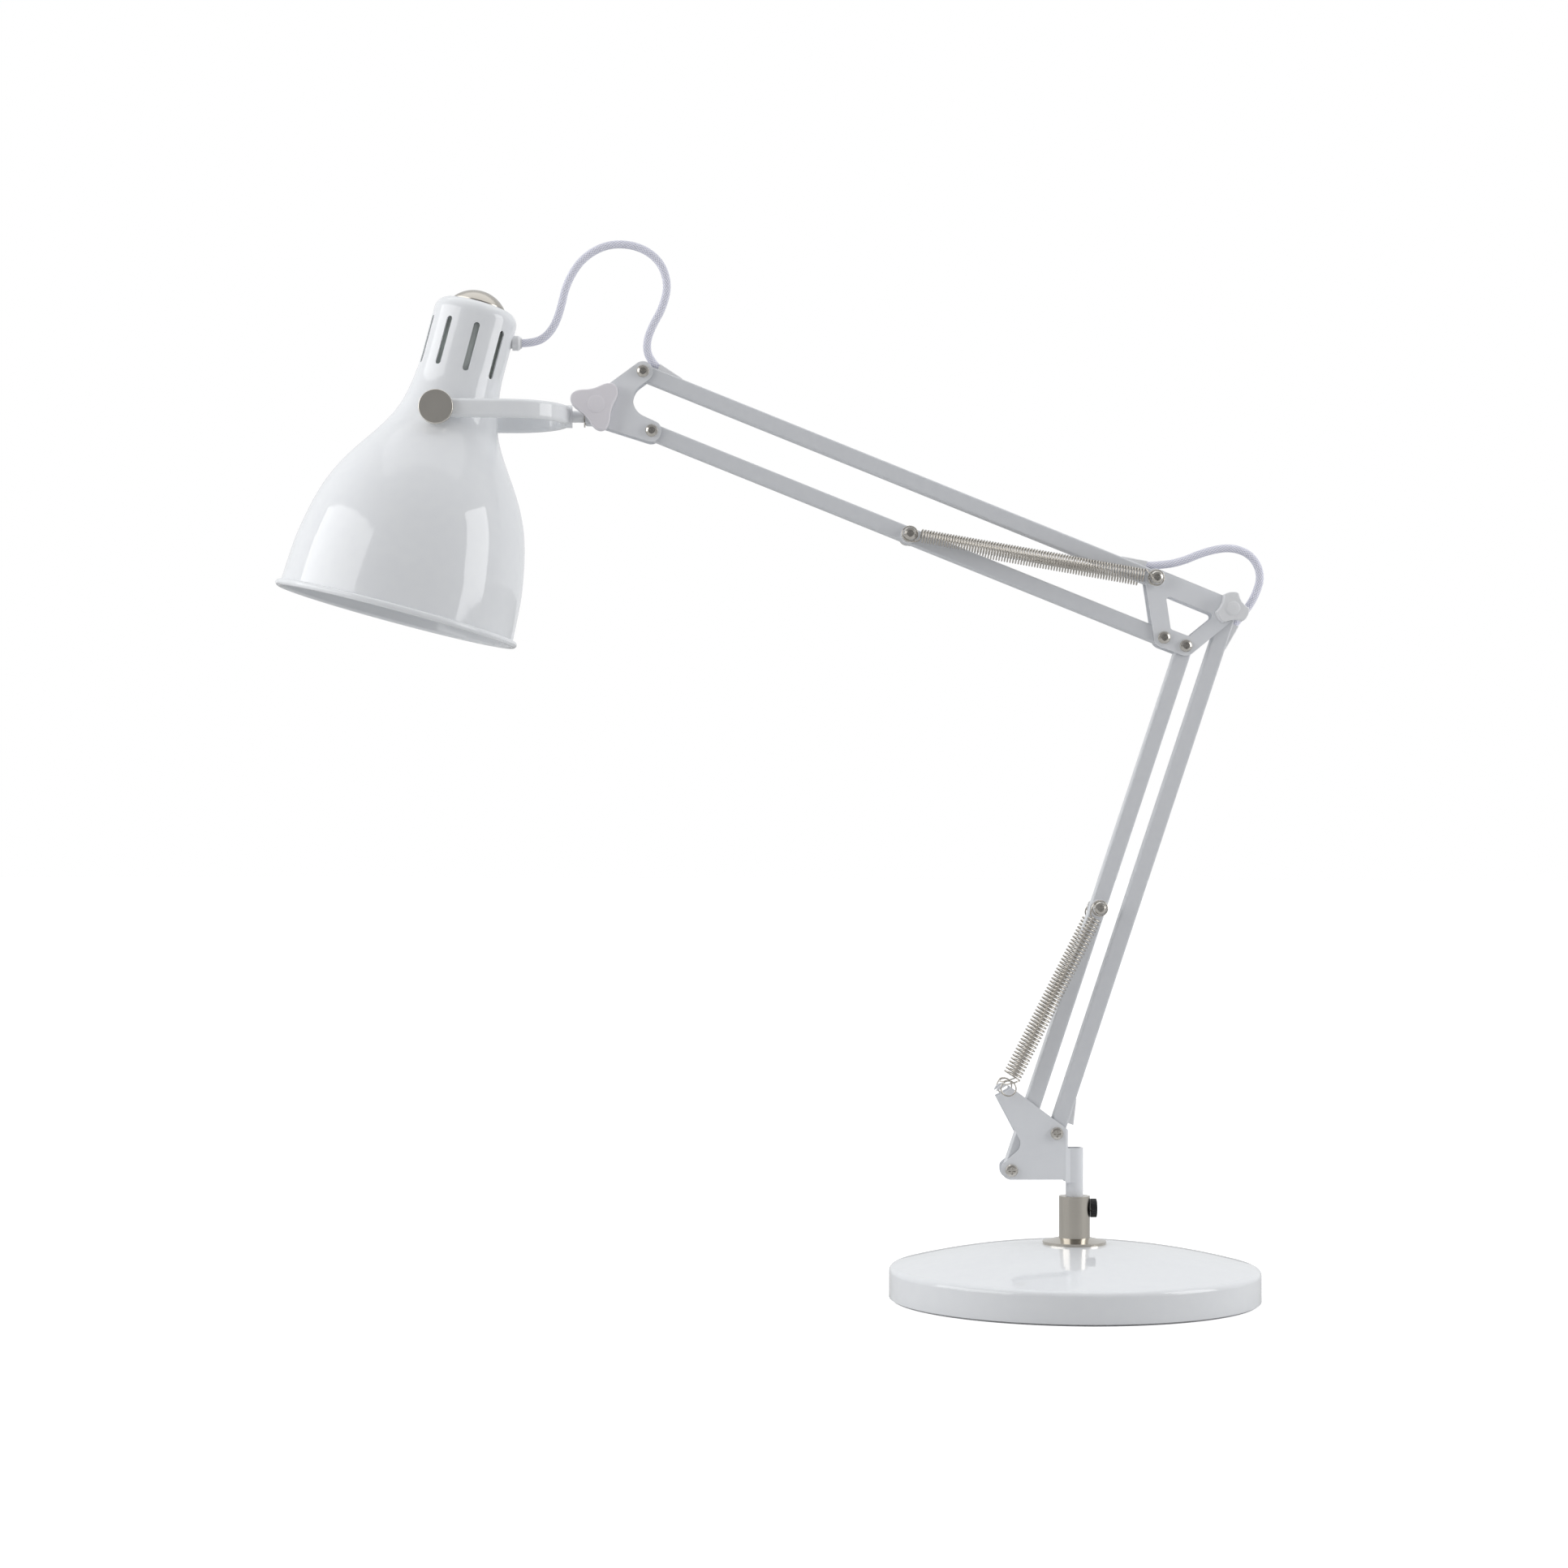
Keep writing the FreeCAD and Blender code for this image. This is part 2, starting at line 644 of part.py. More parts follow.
# ---------------------------------------------------------------- elbow
def make_elbow():
    pivots = [upper_high, elbow_right, elbow_left, upper_low]
    outline = offset_corners(pivots, [lobe_r] * 4, lobe_r)
    window = offset_corners(pivots, [-7.0, -3.2, -6.3, -4.9], 2.0)
    plate = slab(outline, -plate_out, -plate_in)
    plate = plate.cut(slab(window, -plate_out - 1, -plate_in + 1))
    for pivot in pivots:
        plate = plate.cut(rod(pivot, bolt_r + running_clearance, -plate_out - 1, -plate_in + 1))
    save("elbow_plates", plate, far_copy(plate))
    save("elbow_pivot_sleeves", *[pivot_sleeve(p) for p in pivots])
    save("elbow_pivot_screws", pivot_screw(upper_low, plate_out), pivot_screw(elbow_left, plate_out))
    save("elbow_pivot_nuts", pivot_nut(upper_low, plate_out), pivot_nut(elbow_left, plate_out))
    save("elbow_spring_spools", *spring_spools(upper_high, plate_out))
    save("elbow_spring_bolt", pivot_screw(upper_high, spool_length))
    save("elbow_spring_nut", pivot_nut(upper_high, spool_length))
    save("elbow_knob_bolt", knob_bolt(elbow_right, elbow_knob_height))


def knob_bolt(centre, knob_height):
    """Round-headed bolt from the far side, ending inside the knob."""
    head = turned([(0, 0), (5.0, 0), (5.0, 0.8), (3.6, 2.4), (0, 2.8)])
    head = across(head, centre, plate_out, 1)
    end = -plate_out - knob_gap - knob_height + 3.0
    return head.fuse(rod(centre, bolt_r, end, plate_out)).removeSplitter()


def knob_button(button_r, rise):
    """Shallow domed button in the middle of a knob's face."""
    return turned([(0, 0), (button_r, 0), (button_r, rise * 0.35), (button_r * 0.8, rise * 0.75),
                   (button_r * 0.4, rise), (0, rise * 1.05)])


def finish_knob(body, centre, height, button_r):
    """Add the button, bore the knob for its bolt and stand it on the near plate."""
    button = knob_button(button_r, 0.7)
    button.translate(V(0, 0, height))
    knob = body.fuse(button).removeSplitter()
    bore_depth = height - 3.0 + seat_gap + 0.1
    knob = knob.cut(Part.makeCylinder(bolt_r + running_clearance, bore_depth))
    return across(knob, centre, -plate_out - knob_gap, -1)


def make_elbow_knob():
    body = Part.makeCylinder(elbow_knob_r, elbow_knob_height)
    for index in range(3):
        angle = math.radians(elbow_knob_turn + 60 + 120 * index)
        reach = elbow_knob_waist + elbow_knob_scallop_r
        centre = V(reach * math.cos(angle), reach * math.sin(angle), 0)
        body = body.cut(Part.makeCylinder(elbow_knob_scallop_r, elbow_knob_height, centre))
    upright = [e for e in body.Edges if e.BoundBox.ZLength > elbow_knob_height / 2]
    body = body.makeFillet(1.2, upright)
    body = body.makeFillet(0.7, edges_at_height(body, elbow_knob_height))
    save("elbow_knob", finish_knob(body, elbow_right, elbow_knob_height, 4.5))


def make_head_knob():
    """Three-lobed wing knob: its radius swings three times in a turn."""
    points = []
    steps = 36
    for index in range(steps):
        angle = 2 * math.pi * index / steps
        swing = 3 * (angle - math.radians(head_knob_turn))
        radius = head_knob_r + head_knob_lobe * math.cos(swing) + head_knob_crisp * math.cos(2 * swing)
        points.append(V(radius * math.cos(angle), radius * math.sin(angle), 0))
    outline = Part.BSplineCurve()
    outline.interpolate(points, PeriodicFlag=True)
    body = Part.Face(Part.Wire([outline.toShape()])).extrude(V(0, 0, head_knob_height))
    body = body.makeFillet(1.0, edges_at_height(body, head_knob_height))
    save("head_knob", finish_knob(body, tilt_axis, head_knob_height, 5.6))


# ---------------------------------------------------------------- head bracket
def make_head_bracket():
    to_high = (head_high - tilt_axis).normalize()
    to_low = (head_low - tilt_axis).normalize()
    high_side = V(-to_high.z, 0, to_high.x)
    low_side = V(-to_low.z, 0, to_low.x)
    nose_x = block_front + 0.8
    top_line = head_high + high_side * lobe_r
    bottom_line = head_low - low_side * lobe_r
    crotch = crossing(head_high - high_side * lobe_r, to_high, head_low + low_side * lobe_r, to_low)
    outline = [
        (top_line + to_high * lobe_r, lobe_r - 0.05),
        (head_high + (to_high - high_side) * lobe_r, lobe_r - 0.05),
        (crotch, 11.0),
        (head_low + (to_low + low_side) * lobe_r, lobe_r - 0.05),
        (bottom_line + to_low * lobe_r, lobe_r - 0.05),
        (V(nose_x, 0, tilt_axis.z - 10.0), 3.5),
        (crossing(top_line, to_high, V(nose_x, 0, 0), ALONG_Z), 4.0),
    ]
    plate = slab(outline, -plate_out, -plate_in)
    for pivot in (head_high, head_low, tilt_axis):
        plate = plate.cut(rod(pivot, bolt_r + running_clearance, -plate_out - 1, -plate_in + 1))
    save("head_plates", plate, far_copy(plate))
    save("head_pivot_sleeves", *[pivot_sleeve(p) for p in (head_high, head_low, tilt_axis)])
    save("head_pivot_screws", pivot_screw(head_high, plate_out), pivot_screw(head_low, plate_out))
    save("head_pivot_nuts", pivot_nut(head_high, plate_out), pivot_nut(head_low, plate_out))
    save("head_knob_bolt", knob_bolt(tilt_axis, head_knob_height))


def along_stub(radius, x_from, x_to):
    return Part.makeCylinder(radius, x_to - x_from, V(x_from, 0, stub_axis_z), ALONG_X)



def make_pivot_block():
    half = plate_in - 0.4
    outline = [
        (V(block_front, 0, stub_axis_z - 5.2), 1.2),
        (V(block_front, 0, tilt_axis.z - 0.5), 2.0),
        (tilt_axis + V(-1.5, 0, 6.4), 5.0),
        (V(block_back, 0, tilt_axis.z + 4.8), 4.0),
        (V(block_back, 0, stub_axis_z - 5.2), 1.2),
    ]
    block = slab(outline, -half, half)
    block = block.cut(rod(tilt_axis, sleeve_r + running_clearance, -half, half))
    block = block.cut(along_stub(stub_pin_r + running_clearance, block_front, block_back))
    save("pivot_block", block)

    front_start = block_front - stub_washer_thickness
    back_end = block_back + stub_washer_thickness
    bore = along_stub(stub_pin_r + running_clearance, front_start, back_end)
    between_plates = Part.makeBox(stub_washer_thickness, 2 * half, 2 * stub_washer_r,
                                  V(front_start, -half, stub_axis_z - stub_washer_r))
    front = along_stub(stub_washer_r, front_start, block_front).common(between_plates)
    back = along_stub(stub_rivet_r + 0.8, block_back, back_end)
    save("yoke_washers", front.cut(bore), back.cut(bore))


# ---------------------------------------------------------------- yoke
def make_yoke():
    bend_x = yoke_front - yoke_half_width
    half_height = yoke_section_height / 2
    section = Part.makeBox(yoke_arm_length, yoke_section_width, yoke_section_height,
                           V(-yoke_arm_length, -yoke_section_width / 2, -half_height))
    long_edges = [e for e in section.Edges if e.BoundBox.XLength > 1]
    arm = section.makeFillet(yoke_section_r, long_edges)
    end_face = [f for f in arm.Faces if f.BoundBox.XMin > -1e-6][0]
    bend = end_face.copy()
    bend.translate(V(0, -yoke_half_width, 0))
    bend = bend.revolve(ORIGIN, ALONG_Z, 180)
    near = arm.copy()
    near.translate(V(0, -yoke_half_width, 0))
    far = arm.copy()
    far.translate(V(0, yoke_half_width, 0))
    fork = bend.fuse([near, far])
    fork.translate(V(bend_x, 0, stub_axis_z))
    hub_r = 7.0
    collar_front = yoke_front + yoke_section_width / 2 + 1.0
    fork = fork.fuse(along_stub(hub_r, yoke_front - 3.5, collar_front))
    eye_in = yoke_half_width - yoke_section_width / 2 + yoke_eye_relief
    eye_out = yoke_half_width + yoke_section_width / 2
    for y_from, y_to in ((-eye_out, -eye_in), (eye_in, eye_out)):
        fork = fork.fuse(rod(trunnion, yoke_eye_r, y_from, y_to))
        fork = fork.cut(rod(trunnion, trunnion_r + running_clearance, y_from - 1, y_to + 1))
    fork = fork.cut(along_stub(stub_pin_r, yoke_front - 8, collar_front + 1))
    save("yoke", fork.removeSplitter())

    shoulder = block_front - stub_washer_thickness - stub_washer_play
    rivet_start = block_back + stub_washer_thickness + stub_washer_play
    rivet_end = rivet_start + stub_rivet_height
    shaft = along_stub(stub_r, collar_front, shoulder)
    shaft = shaft.fuse(along_stub(stub_pin_r, yoke_front - 2.4, rivet_end))
    shaft = shaft.fuse(along_stub(stub_rivet_r, rivet_start, rivet_end))
    save("yoke_shaft", shaft.removeSplitter())


# ---------------------------------------------------------------- shade and lampholder
def on_shade(shape):
    """Tip a piece drawn upright, with the trunnions through the origin, into its place."""
    moved = shape.copy()
    moved.translate(V(shade_offset, 0, 0))
    moved.rotate(ORIGIN, ALONG_Y, shade_tilt)
    moved.translate(trunnion)
    return moved


def shade_body(wall_offset):
    """Solid spun shape of the shade, shrunk by wall_offset from its outside."""
    flare = mouth_r - neck_r
    bell = [V(neck_r + share * flare, 0, height) for share, height in bell_shares]
    bell += [V(mouth_r, 0, -mouth_drop)]
    curve = Part.BSplineCurve()
    curve.interpolate(bell, InitialTangent=V(0, 0, -1), FinalTangent=V(0.05, 0, -1))
    if wall_offset > 0:
        shrunk = []
        for point in bell:
            tangent = curve.tangent(curve.parameter(point))[0]
            shrunk.append(point + V(tangent.z, 0, -tangent.x) * wall_offset)
        shrunk[-1].z = -mouth_drop
        curve = Part.BSplineCurve()
        curve.interpolate(shrunk, InitialTangent=V(0, 0, -1), FinalTangent=V(0.05, 0, -1))
    start = curve.StartPoint
    end = curve.EndPoint
    top = shade_top - wall_offset
    round_r = shoulder_r - wall_offset
    neck_top = V(start.x, 0, top - round_r)
    crown = V(start.x - round_r, 0, top)
    bulge = V(start.x - round_r * (1 - math.sqrt(0.5)), 0, top - round_r * (1 - math.sqrt(0.5)))
    edges = [
        Part.LineSegment(V(0, 0, top), crown).toShape(),
        Part.Arc(crown, bulge, neck_top).toShape(),
        Part.LineSegment(neck_top, start).toShape(),
        curve.toShape(),
        Part.LineSegment(end, V(0, 0, end.z)).toShape(),
        Part.LineSegment(V(0, 0, end.z), V(0, 0, top)).toShape(),
    ]
    return Part.Face(Part.Wire(edges)).revolve(ORIGIN, ALONG_Z, 360)


def vent_cutter():
    """Upright slot with round ends that reaches out through the neck on the +Y side."""
    half = vent_length / 2 - vent_width / 2
    low = V(0, 0, vent_height - half)
    high = V(0, 0, vent_height + half)
    return capsule(low, high, vent_width / 2, neck_r - 6, neck_r + 6)


def make_shade():
    outside = shade_body(0)
    inside = shade_body(shade_wall)
    bead = Part.makeTorus(mouth_r + 0.9, rim_bead_r, V(0, 0, -mouth_drop), ALONG_Z)
    shell = outside.fuse(bead).cut(inside)
    cap_seat_r = cap_r - 1.5
    shell = shell.cut(Part.makeCylinder(cap_seat_r, 10, V(0, 0, shade_top - 5)))
    spacing = 360.0 / (vent_count + 1)
    for index in range(vent_count):
        cutter = vent_cutter()
        cutter.rotate(ORIGIN, ALONG_Z, -90 + spacing * (index + 1))
        shell = shell.cut(cutter)
    gland_hole = Part.makeCylinder(gland_r - 1.0, 12, V(neck_r - 6, 0, gland_height), ALONG_X)
    gland_hole.rotate(V(neck_r, 0, gland_height), ALONG_Y, -gland_pitch)
    shell = shell.cut(gland_hole)
    pin = Part.makeCylinder(trunnion_r, 120, V(-shade_offset, -60, 0), ALONG_Y)
    shell = shell.cut(pin)
    save("shade", on_shade(shell))

    seat = yoke_half_width - yoke_section_width / 2 - seat_gap
    disc_seat = yoke_half_width + yoke_section_width / 2 + seat_gap
    nut_inset = 3.6
    nut_seat = neck_r + trunnion_share * (mouth_r - neck_r) - nut_inset
    bush = Part.makeCylinder(6.0, seat - nut_seat, V(-shade_offset, nut_seat, 0), ALONG_Y)
    bush = bush.cut(Part.makeCylinder(trunnion_r, 60, V(-shade_offset, 0, 0), ALONG_Y)).cut(outside)
    bush = max(bush.Solids, key=lambda solid: solid.Volume)
    save("trunnion_bushes", on_shade(bush), on_shade(far_copy(bush)))

    disc = Part.makeCylinder(trunnion_disc_r, trunnion_disc_thickness,
                             V(-shade_offset, disc_seat, 0), ALONG_Y)
    rim = [e for e in disc.Edges if abs(e.BoundBox.YMin - disc_seat - trunnion_disc_thickness) < 1e-3
           and abs(e.BoundBox.YMax - disc_seat - trunnion_disc_thickness) < 1e-3]
    disc = disc.makeFillet(0.5, rim)
    nut_thickness = 3.0
    shank_start = nut_seat - nut_thickness - 1.0
    shank = Part.makeCylinder(trunnion_r, disc_seat - shank_start, V(-shade_offset, shank_start, 0), ALONG_Y)
    screw = disc.fuse(shank).removeSplitter()
    save("trunnion_screws", on_shade(screw), on_shade(far_copy(screw)))
    nut = across(hex_nut(9.0, nut_thickness, trunnion_r), V(-shade_offset, 0, 0), nut_seat - nut_thickness, 1)
    save("trunnion_nuts", on_shade(nut), on_shade(far_copy(nut)))

    make_cap_and_gland(shell)
    make_lampholder()


def make_cap_and_gland(shell):
    rim = 1.0
    sphere_r = (cap_r ** 2 + cap_rise ** 2) / (2 * cap_rise)
    middle = math.asin(cap_r / sphere_r) / 2
    skirt = V(cap_r, 0, shade_top + rim)
    crown = V(0, 0, shade_top + rim + cap_rise)
    between = V(sphere_r * math.sin(middle), 0, crown.z - sphere_r * (1 - math.cos(middle)))
    foot = V(cap_r, 0, shade_top)
    centre = V(0, 0, shade_top)
    edges = [
        Part.Arc(crown, between, skirt).toShape(),
        Part.LineSegment(skirt, foot).toShape(),
        Part.LineSegment(foot, centre).toShape(),
        Part.LineSegment(centre, crown).toShape(),
    ]
    cap = Part.Face(Part.Wire(edges)).revolve(ORIGIN, ALONG_Z, 360)
    nipple_hole = Part.makeCylinder(5.0, 4.0, V(0, 0, shade_top))
    save("shade_cap", on_shade(cap.cut(nipple_hole)))

    barrel_in = neck_r - 2.6
    mouth = neck_r + gland_length
    barrel_r = gland_r - 1.3
    barrel = Part.makeCylinder(barrel_r, mouth - barrel_in, V(barrel_in, 0, gland_height), ALONG_X)
    collar = turned([(0, neck_r + 0.2), (gland_r, neck_r + 0.2), (gland_r, mouth - 2.2),
                     (gland_r - 0.9, mouth - 0.8), (0, mouth - 0.8)])
    collar.rotate(ORIGIN, ALONG_Y, 90)
    collar.translate(V(0, 0, gland_height))
    bore = Part.makeCylinder(cord_r + seat_gap, mouth, V(barrel_in - 2, 0, gland_height), ALONG_X)
    gland = barrel.fuse(collar).removeSplitter().cut(bore)
    gland.rotate(V(neck_r, 0, gland_height), ALONG_Y, -gland_pitch)
    save("cord_gland", on_shade(gland.cut(shell)))


def make_lampholder():
    top = shade_top - 9.0
    bottom = top - holder_length
    seam = (top + bottom) / 2 + 2
    skirt = turned([(thread_r + 1.2, bottom), (holder_r, bottom), (holder_r, seam), (thread_r + 1.2, seam)])
    save("lampholder_skirt", on_shade(skirt))
    dome = turned([(0, seam), (holder_r - 0.3, seam), (holder_r - 0.3, top - 5), (holder_r - 5, top),
                   (0, top)])
    dome = dome.cut(Part.makeCylinder(thread_r + 1.2, 6, V(0, 0, seam)))
    save("lampholder_dome", on_shade(dome))
    thread = turned([(thread_r, bottom + 1), (thread_r + 1.2, bottom + 1), (thread_r + 1.2, seam + 1.3),
                     (thread_r, seam + 1.3)])
    save("lampholder_thread", on_shade(thread))
    contact = turned([(0, seam + 1.5), (3.5, seam + 1.5), (3.5, seam + 3), (2.0, seam + 6), (0, seam + 6)])
    save("lampholder_contact", on_shade(contact))
    nipple = Part.makeCylinder(5.0, shade_top + 4.0 - top, V(0, 0, top))
    save("lampholder_nipple", on_shade(nipple))


# ---------------------------------------------------------------- springs
def spring_envelope(start, end, side_start, side_end):
    """Tube of the coil's size with a ring at each end, between two anchor points."""
    from_point = V(start.x, -spring_side, start.z)
    to_point = V(end.x, -spring_side, end.z)
    along = (to_point - from_point).normalize()
    neck = spring_ring_r + 1.0
    coil_start = from_point + along * neck
    coil_length = from_point.distanceToPoint(to_point) - 2 * neck
    coil = Part.makeCylinder(spring_r, coil_length, coil_start, along)
    coil = coil.cut(Part.makeCylinder(spring_r - spring_wall, coil_length, coil_start, along))
    side = V(-along.z, 0, along.x)
    pieces = []
    for point, depth, inward in ((start, side_start, 1), (end, side_end, -1)):
        ring = Part.makeTorus(spring_ring_r, spring_wire_r, V(point.x, -depth, point.z), ALONG_Y)
        middle = V(point.x, -depth, point.z) + along * (inward * (neck - 0.15))
        bridge = Part.makeCylinder(spring_wire_r, 2 * spring_r - 1, middle - side * (spring_r - 0.5), side)
        pieces += [ring, bridge]
    return coil.fuse(pieces).removeSplitter()


def make_springs():
    upper = spring_envelope(upper_anchor, upper_high, spring_side, spring_side)
    save("upper_springs", upper, far_copy(upper))
    lower = spring_envelope(lower_anchor, spring_hook, spring_side, spring_side)
    save("lower_springs", lower, far_copy(lower))


# ---------------------------------------------------------------- cord loops
def hood_exit(start, end, near_start):
    """Mouth of a bar's cord hood, and the direction in which the cord leaves it."""
    direction = (end - start).normalize()
    outward = V(-direction.z, 0, direction.x)
    pivot = start if near_start else end
    inward = direction if near_start else -direction
    mouth = pivot + inward * hood_mouth + outward * cord_rise
    entry = pivot + inward * cord_entry
    return mouth, (mouth - entry).normalize()


def make_cord_loops():
    first_run = 9.0
    last_run = 12.0
    gland_root = V(shade_offset + neck_r, 0, gland_height)
    gland_root = FreeCAD.Rotation(ALONG_Y, shade_tilt).multVec(gland_root) + trunnion
    gland_way = polar(1.0, gland_pitch - shade_tilt)
    gland_start = gland_root + gland_way * (gland_length - 3.0)
    head_mouth, head_way = hood_exit(head_high, upper_high, near_start=True)
    head_route = [gland_start, gland_root + gland_way * (gland_length + 4.0)]
    head_route += [head_high + V(x, 0, z) for x, z in head_loop]
    head_route += [head_mouth + head_way * first_run, head_mouth]
    tube, length, radii = cord_tube(head_route, cord_r)
    report_cord("head_cord", tube, length, radii)
    save("head_cord", tube)

    tail_mouth, tail_way = hood_exit(head_high, upper_high, near_start=False)
    elbow_mouth, elbow_way = hood_exit(elbow_right, foot_right, near_start=True)
    elbow_route = [tail_mouth, tail_mouth + tail_way * first_run]
    elbow_route += [elbow_right + V(x, 0, z) for x, z in elbow_loop]
    elbow_route += [elbow_mouth + elbow_way * last_run, elbow_mouth]
    tube, length, radii = cord_tube(elbow_route, cord_r)
    report_cord("elbow_cord", tube, length, radii)
    save("elbow_cord", tube)


os.makedirs("parts", exist_ok=True)
make_base()
make_thumbscrew()
make_base_bracket()
make_lower_bars()
make_elbow()
make_elbow_knob()
make_upper_bars()
make_head_bracket()
make_head_knob()
make_pivot_block()
make_yoke()
make_shade()
make_springs()
make_cord_loops()
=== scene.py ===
import math

import bpy
import numpy as np
from mathutils import Matrix, Vector


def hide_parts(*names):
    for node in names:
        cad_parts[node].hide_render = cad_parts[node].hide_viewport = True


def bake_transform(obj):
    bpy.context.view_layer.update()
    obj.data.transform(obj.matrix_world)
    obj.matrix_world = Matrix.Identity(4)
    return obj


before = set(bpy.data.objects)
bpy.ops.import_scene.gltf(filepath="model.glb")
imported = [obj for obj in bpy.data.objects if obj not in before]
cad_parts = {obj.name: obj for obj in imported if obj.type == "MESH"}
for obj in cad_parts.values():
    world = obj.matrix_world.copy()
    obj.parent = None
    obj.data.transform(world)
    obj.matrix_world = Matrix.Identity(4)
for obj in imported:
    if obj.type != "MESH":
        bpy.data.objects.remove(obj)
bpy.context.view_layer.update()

# ------------------------------------------------------------------ materials' helpers
# Each material is a small node tree. Its colours are given as sRGB hex values.
def linear(hex_colour):
    """The linear colour of an sRGB hex value: each channel has the sRGB curve undone."""
    channels = [int(hex_colour[i:i + 2], 16) / 255 for i in (1, 3, 5)]
    return [c / 12.92 if c <= 0.04045 else ((c + 0.055) / 1.055) ** 2.4 for c in channels] + [1.0]


def new_material(name):
    """An empty material, as its node tree."""
    material = bpy.data.materials.new(name)
    material.use_nodes = True
    material.node_tree.nodes.clear()
    return material


def add_node(material, kind, inputs=None, **options):
    """Add one node. Each input is a value, or the output that is linked to it."""
    tree = material.node_tree
    node = tree.nodes.new(kind)
    for option, value in options.items():
        setattr(node, option, value)
    for socket, value in (inputs or {}).items():
        if isinstance(value, bpy.types.NodeSocket):
            tree.links.new(value, node.inputs[socket])
        else:
            node.inputs[socket].default_value = value
    return node


def paint(material, *node_names):
    """Give CAD nodes a material."""
    for node_name in node_names:
        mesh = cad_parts[node_name].data
        mesh.materials.clear()
        mesh.materials.append(material)


# ------------------------------------------------------------------ base cover
# The cover is a spun steel dish over a heavy disc, dipped in gloss stove enamel. The paint is
# thick and hard, so it takes sharp reflections that waver slightly where it has flowed.
def gloss_enamel():
    """Stove enamel: a dielectric of IOR 1.52 with slow waves 6 mm apart and orange peel of 1.6 mm."""
    enamel = new_material("gloss_stove_enamel")
    place = add_node(enamel, "ShaderNodeTexCoord").outputs["Object"]
    waves = add_node(enamel, "ShaderNodeTexNoise", {"Vector": place, "Scale": 160.0, "Detail": 0.0})
    peel = add_node(enamel, "ShaderNodeTexNoise", {"Vector": place, "Scale": 620.0, "Detail": 1.0})
    flow = add_node(enamel, "ShaderNodeBump", {
        "Height": waves.outputs["Fac"], "Strength": 0.06, "Distance": 0.0003})
    skin = add_node(enamel, "ShaderNodeBump", {
        "Height": peel.outputs["Fac"], "Strength": 0.05, "Distance": 0.0001,
        "Normal": flow.outputs["Normal"]})
    tone = add_node(enamel, "ShaderNodeValToRGB", {"Fac": waves.outputs["Fac"]})
    tone.color_ramp.elements[0].color = linear("#E9EBEE")
    tone.color_ramp.elements[1].color = linear("#ECEEF0")
    body = add_node(enamel, "ShaderNodeBsdfPrincipled", {
        "Base Color": tone.outputs["Color"], "Roughness": 0.06, "IOR": 1.52,
        "Normal": skin.outputs["Normal"]})
    add_node(enamel, "ShaderNodeOutputMaterial", {"Surface": body.outputs["BSDF"]})
    return enamel


enamel = gloss_enamel()
paint(enamel, "base_cover", "shade", "yoke", "yoke_shaft")


# ------------------------------------------------------------------ base weight and pad
# A rough iron casting gives the base its weight. A closed-cell foam disc under it keeps the
# iron off the table.
def sand_cast_iron():
    """Primed iron with the 1.2 mm grain of the mould's sand."""
    iron = new_material("sand_cast_iron")
    place = add_node(iron, "ShaderNodeTexCoord").outputs["Object"]
    grain = add_node(iron, "ShaderNodeTexNoise", {"Vector": place, "Scale": 800.0, "Detail": 4.0})
    rough = add_node(iron, "ShaderNodeBump", {
        "Height": grain.outputs["Fac"], "Strength": 0.6, "Distance": 0.0003})
    body = add_node(iron, "ShaderNodeBsdfPrincipled", {
        "Base Color": linear("#3B3B3D"), "Roughness": 0.7, "Metallic": 0.0,
        "Normal": rough.outputs["Normal"]})
    add_node(iron, "ShaderNodeOutputMaterial", {"Surface": body.outputs["BSDF"]})
    return iron


def closed_cell_foam():
    """Grey foam whose cells are 1 mm across."""
    foam = new_material("closed_cell_foam")
    place = add_node(foam, "ShaderNodeTexCoord").outputs["Object"]
    cells = add_node(foam, "ShaderNodeTexVoronoi", {"Vector": place, "Scale": 1000.0})
    pits = add_node(foam, "ShaderNodeBump", {
        "Height": cells.outputs["Distance"], "Strength": 0.5, "Distance": 0.0003})
    body = add_node(foam, "ShaderNodeBsdfPrincipled", {
        "Base Color": linear("#C9CACC"), "Roughness": 0.85, "Normal": pits.outputs["Normal"]})
    add_node(foam, "ShaderNodeOutputMaterial", {"Surface": body.outputs["BSDF"]})
    return foam


paint(sand_cast_iron(), "base_weight")
paint(closed_cell_foam(), "base_pad")


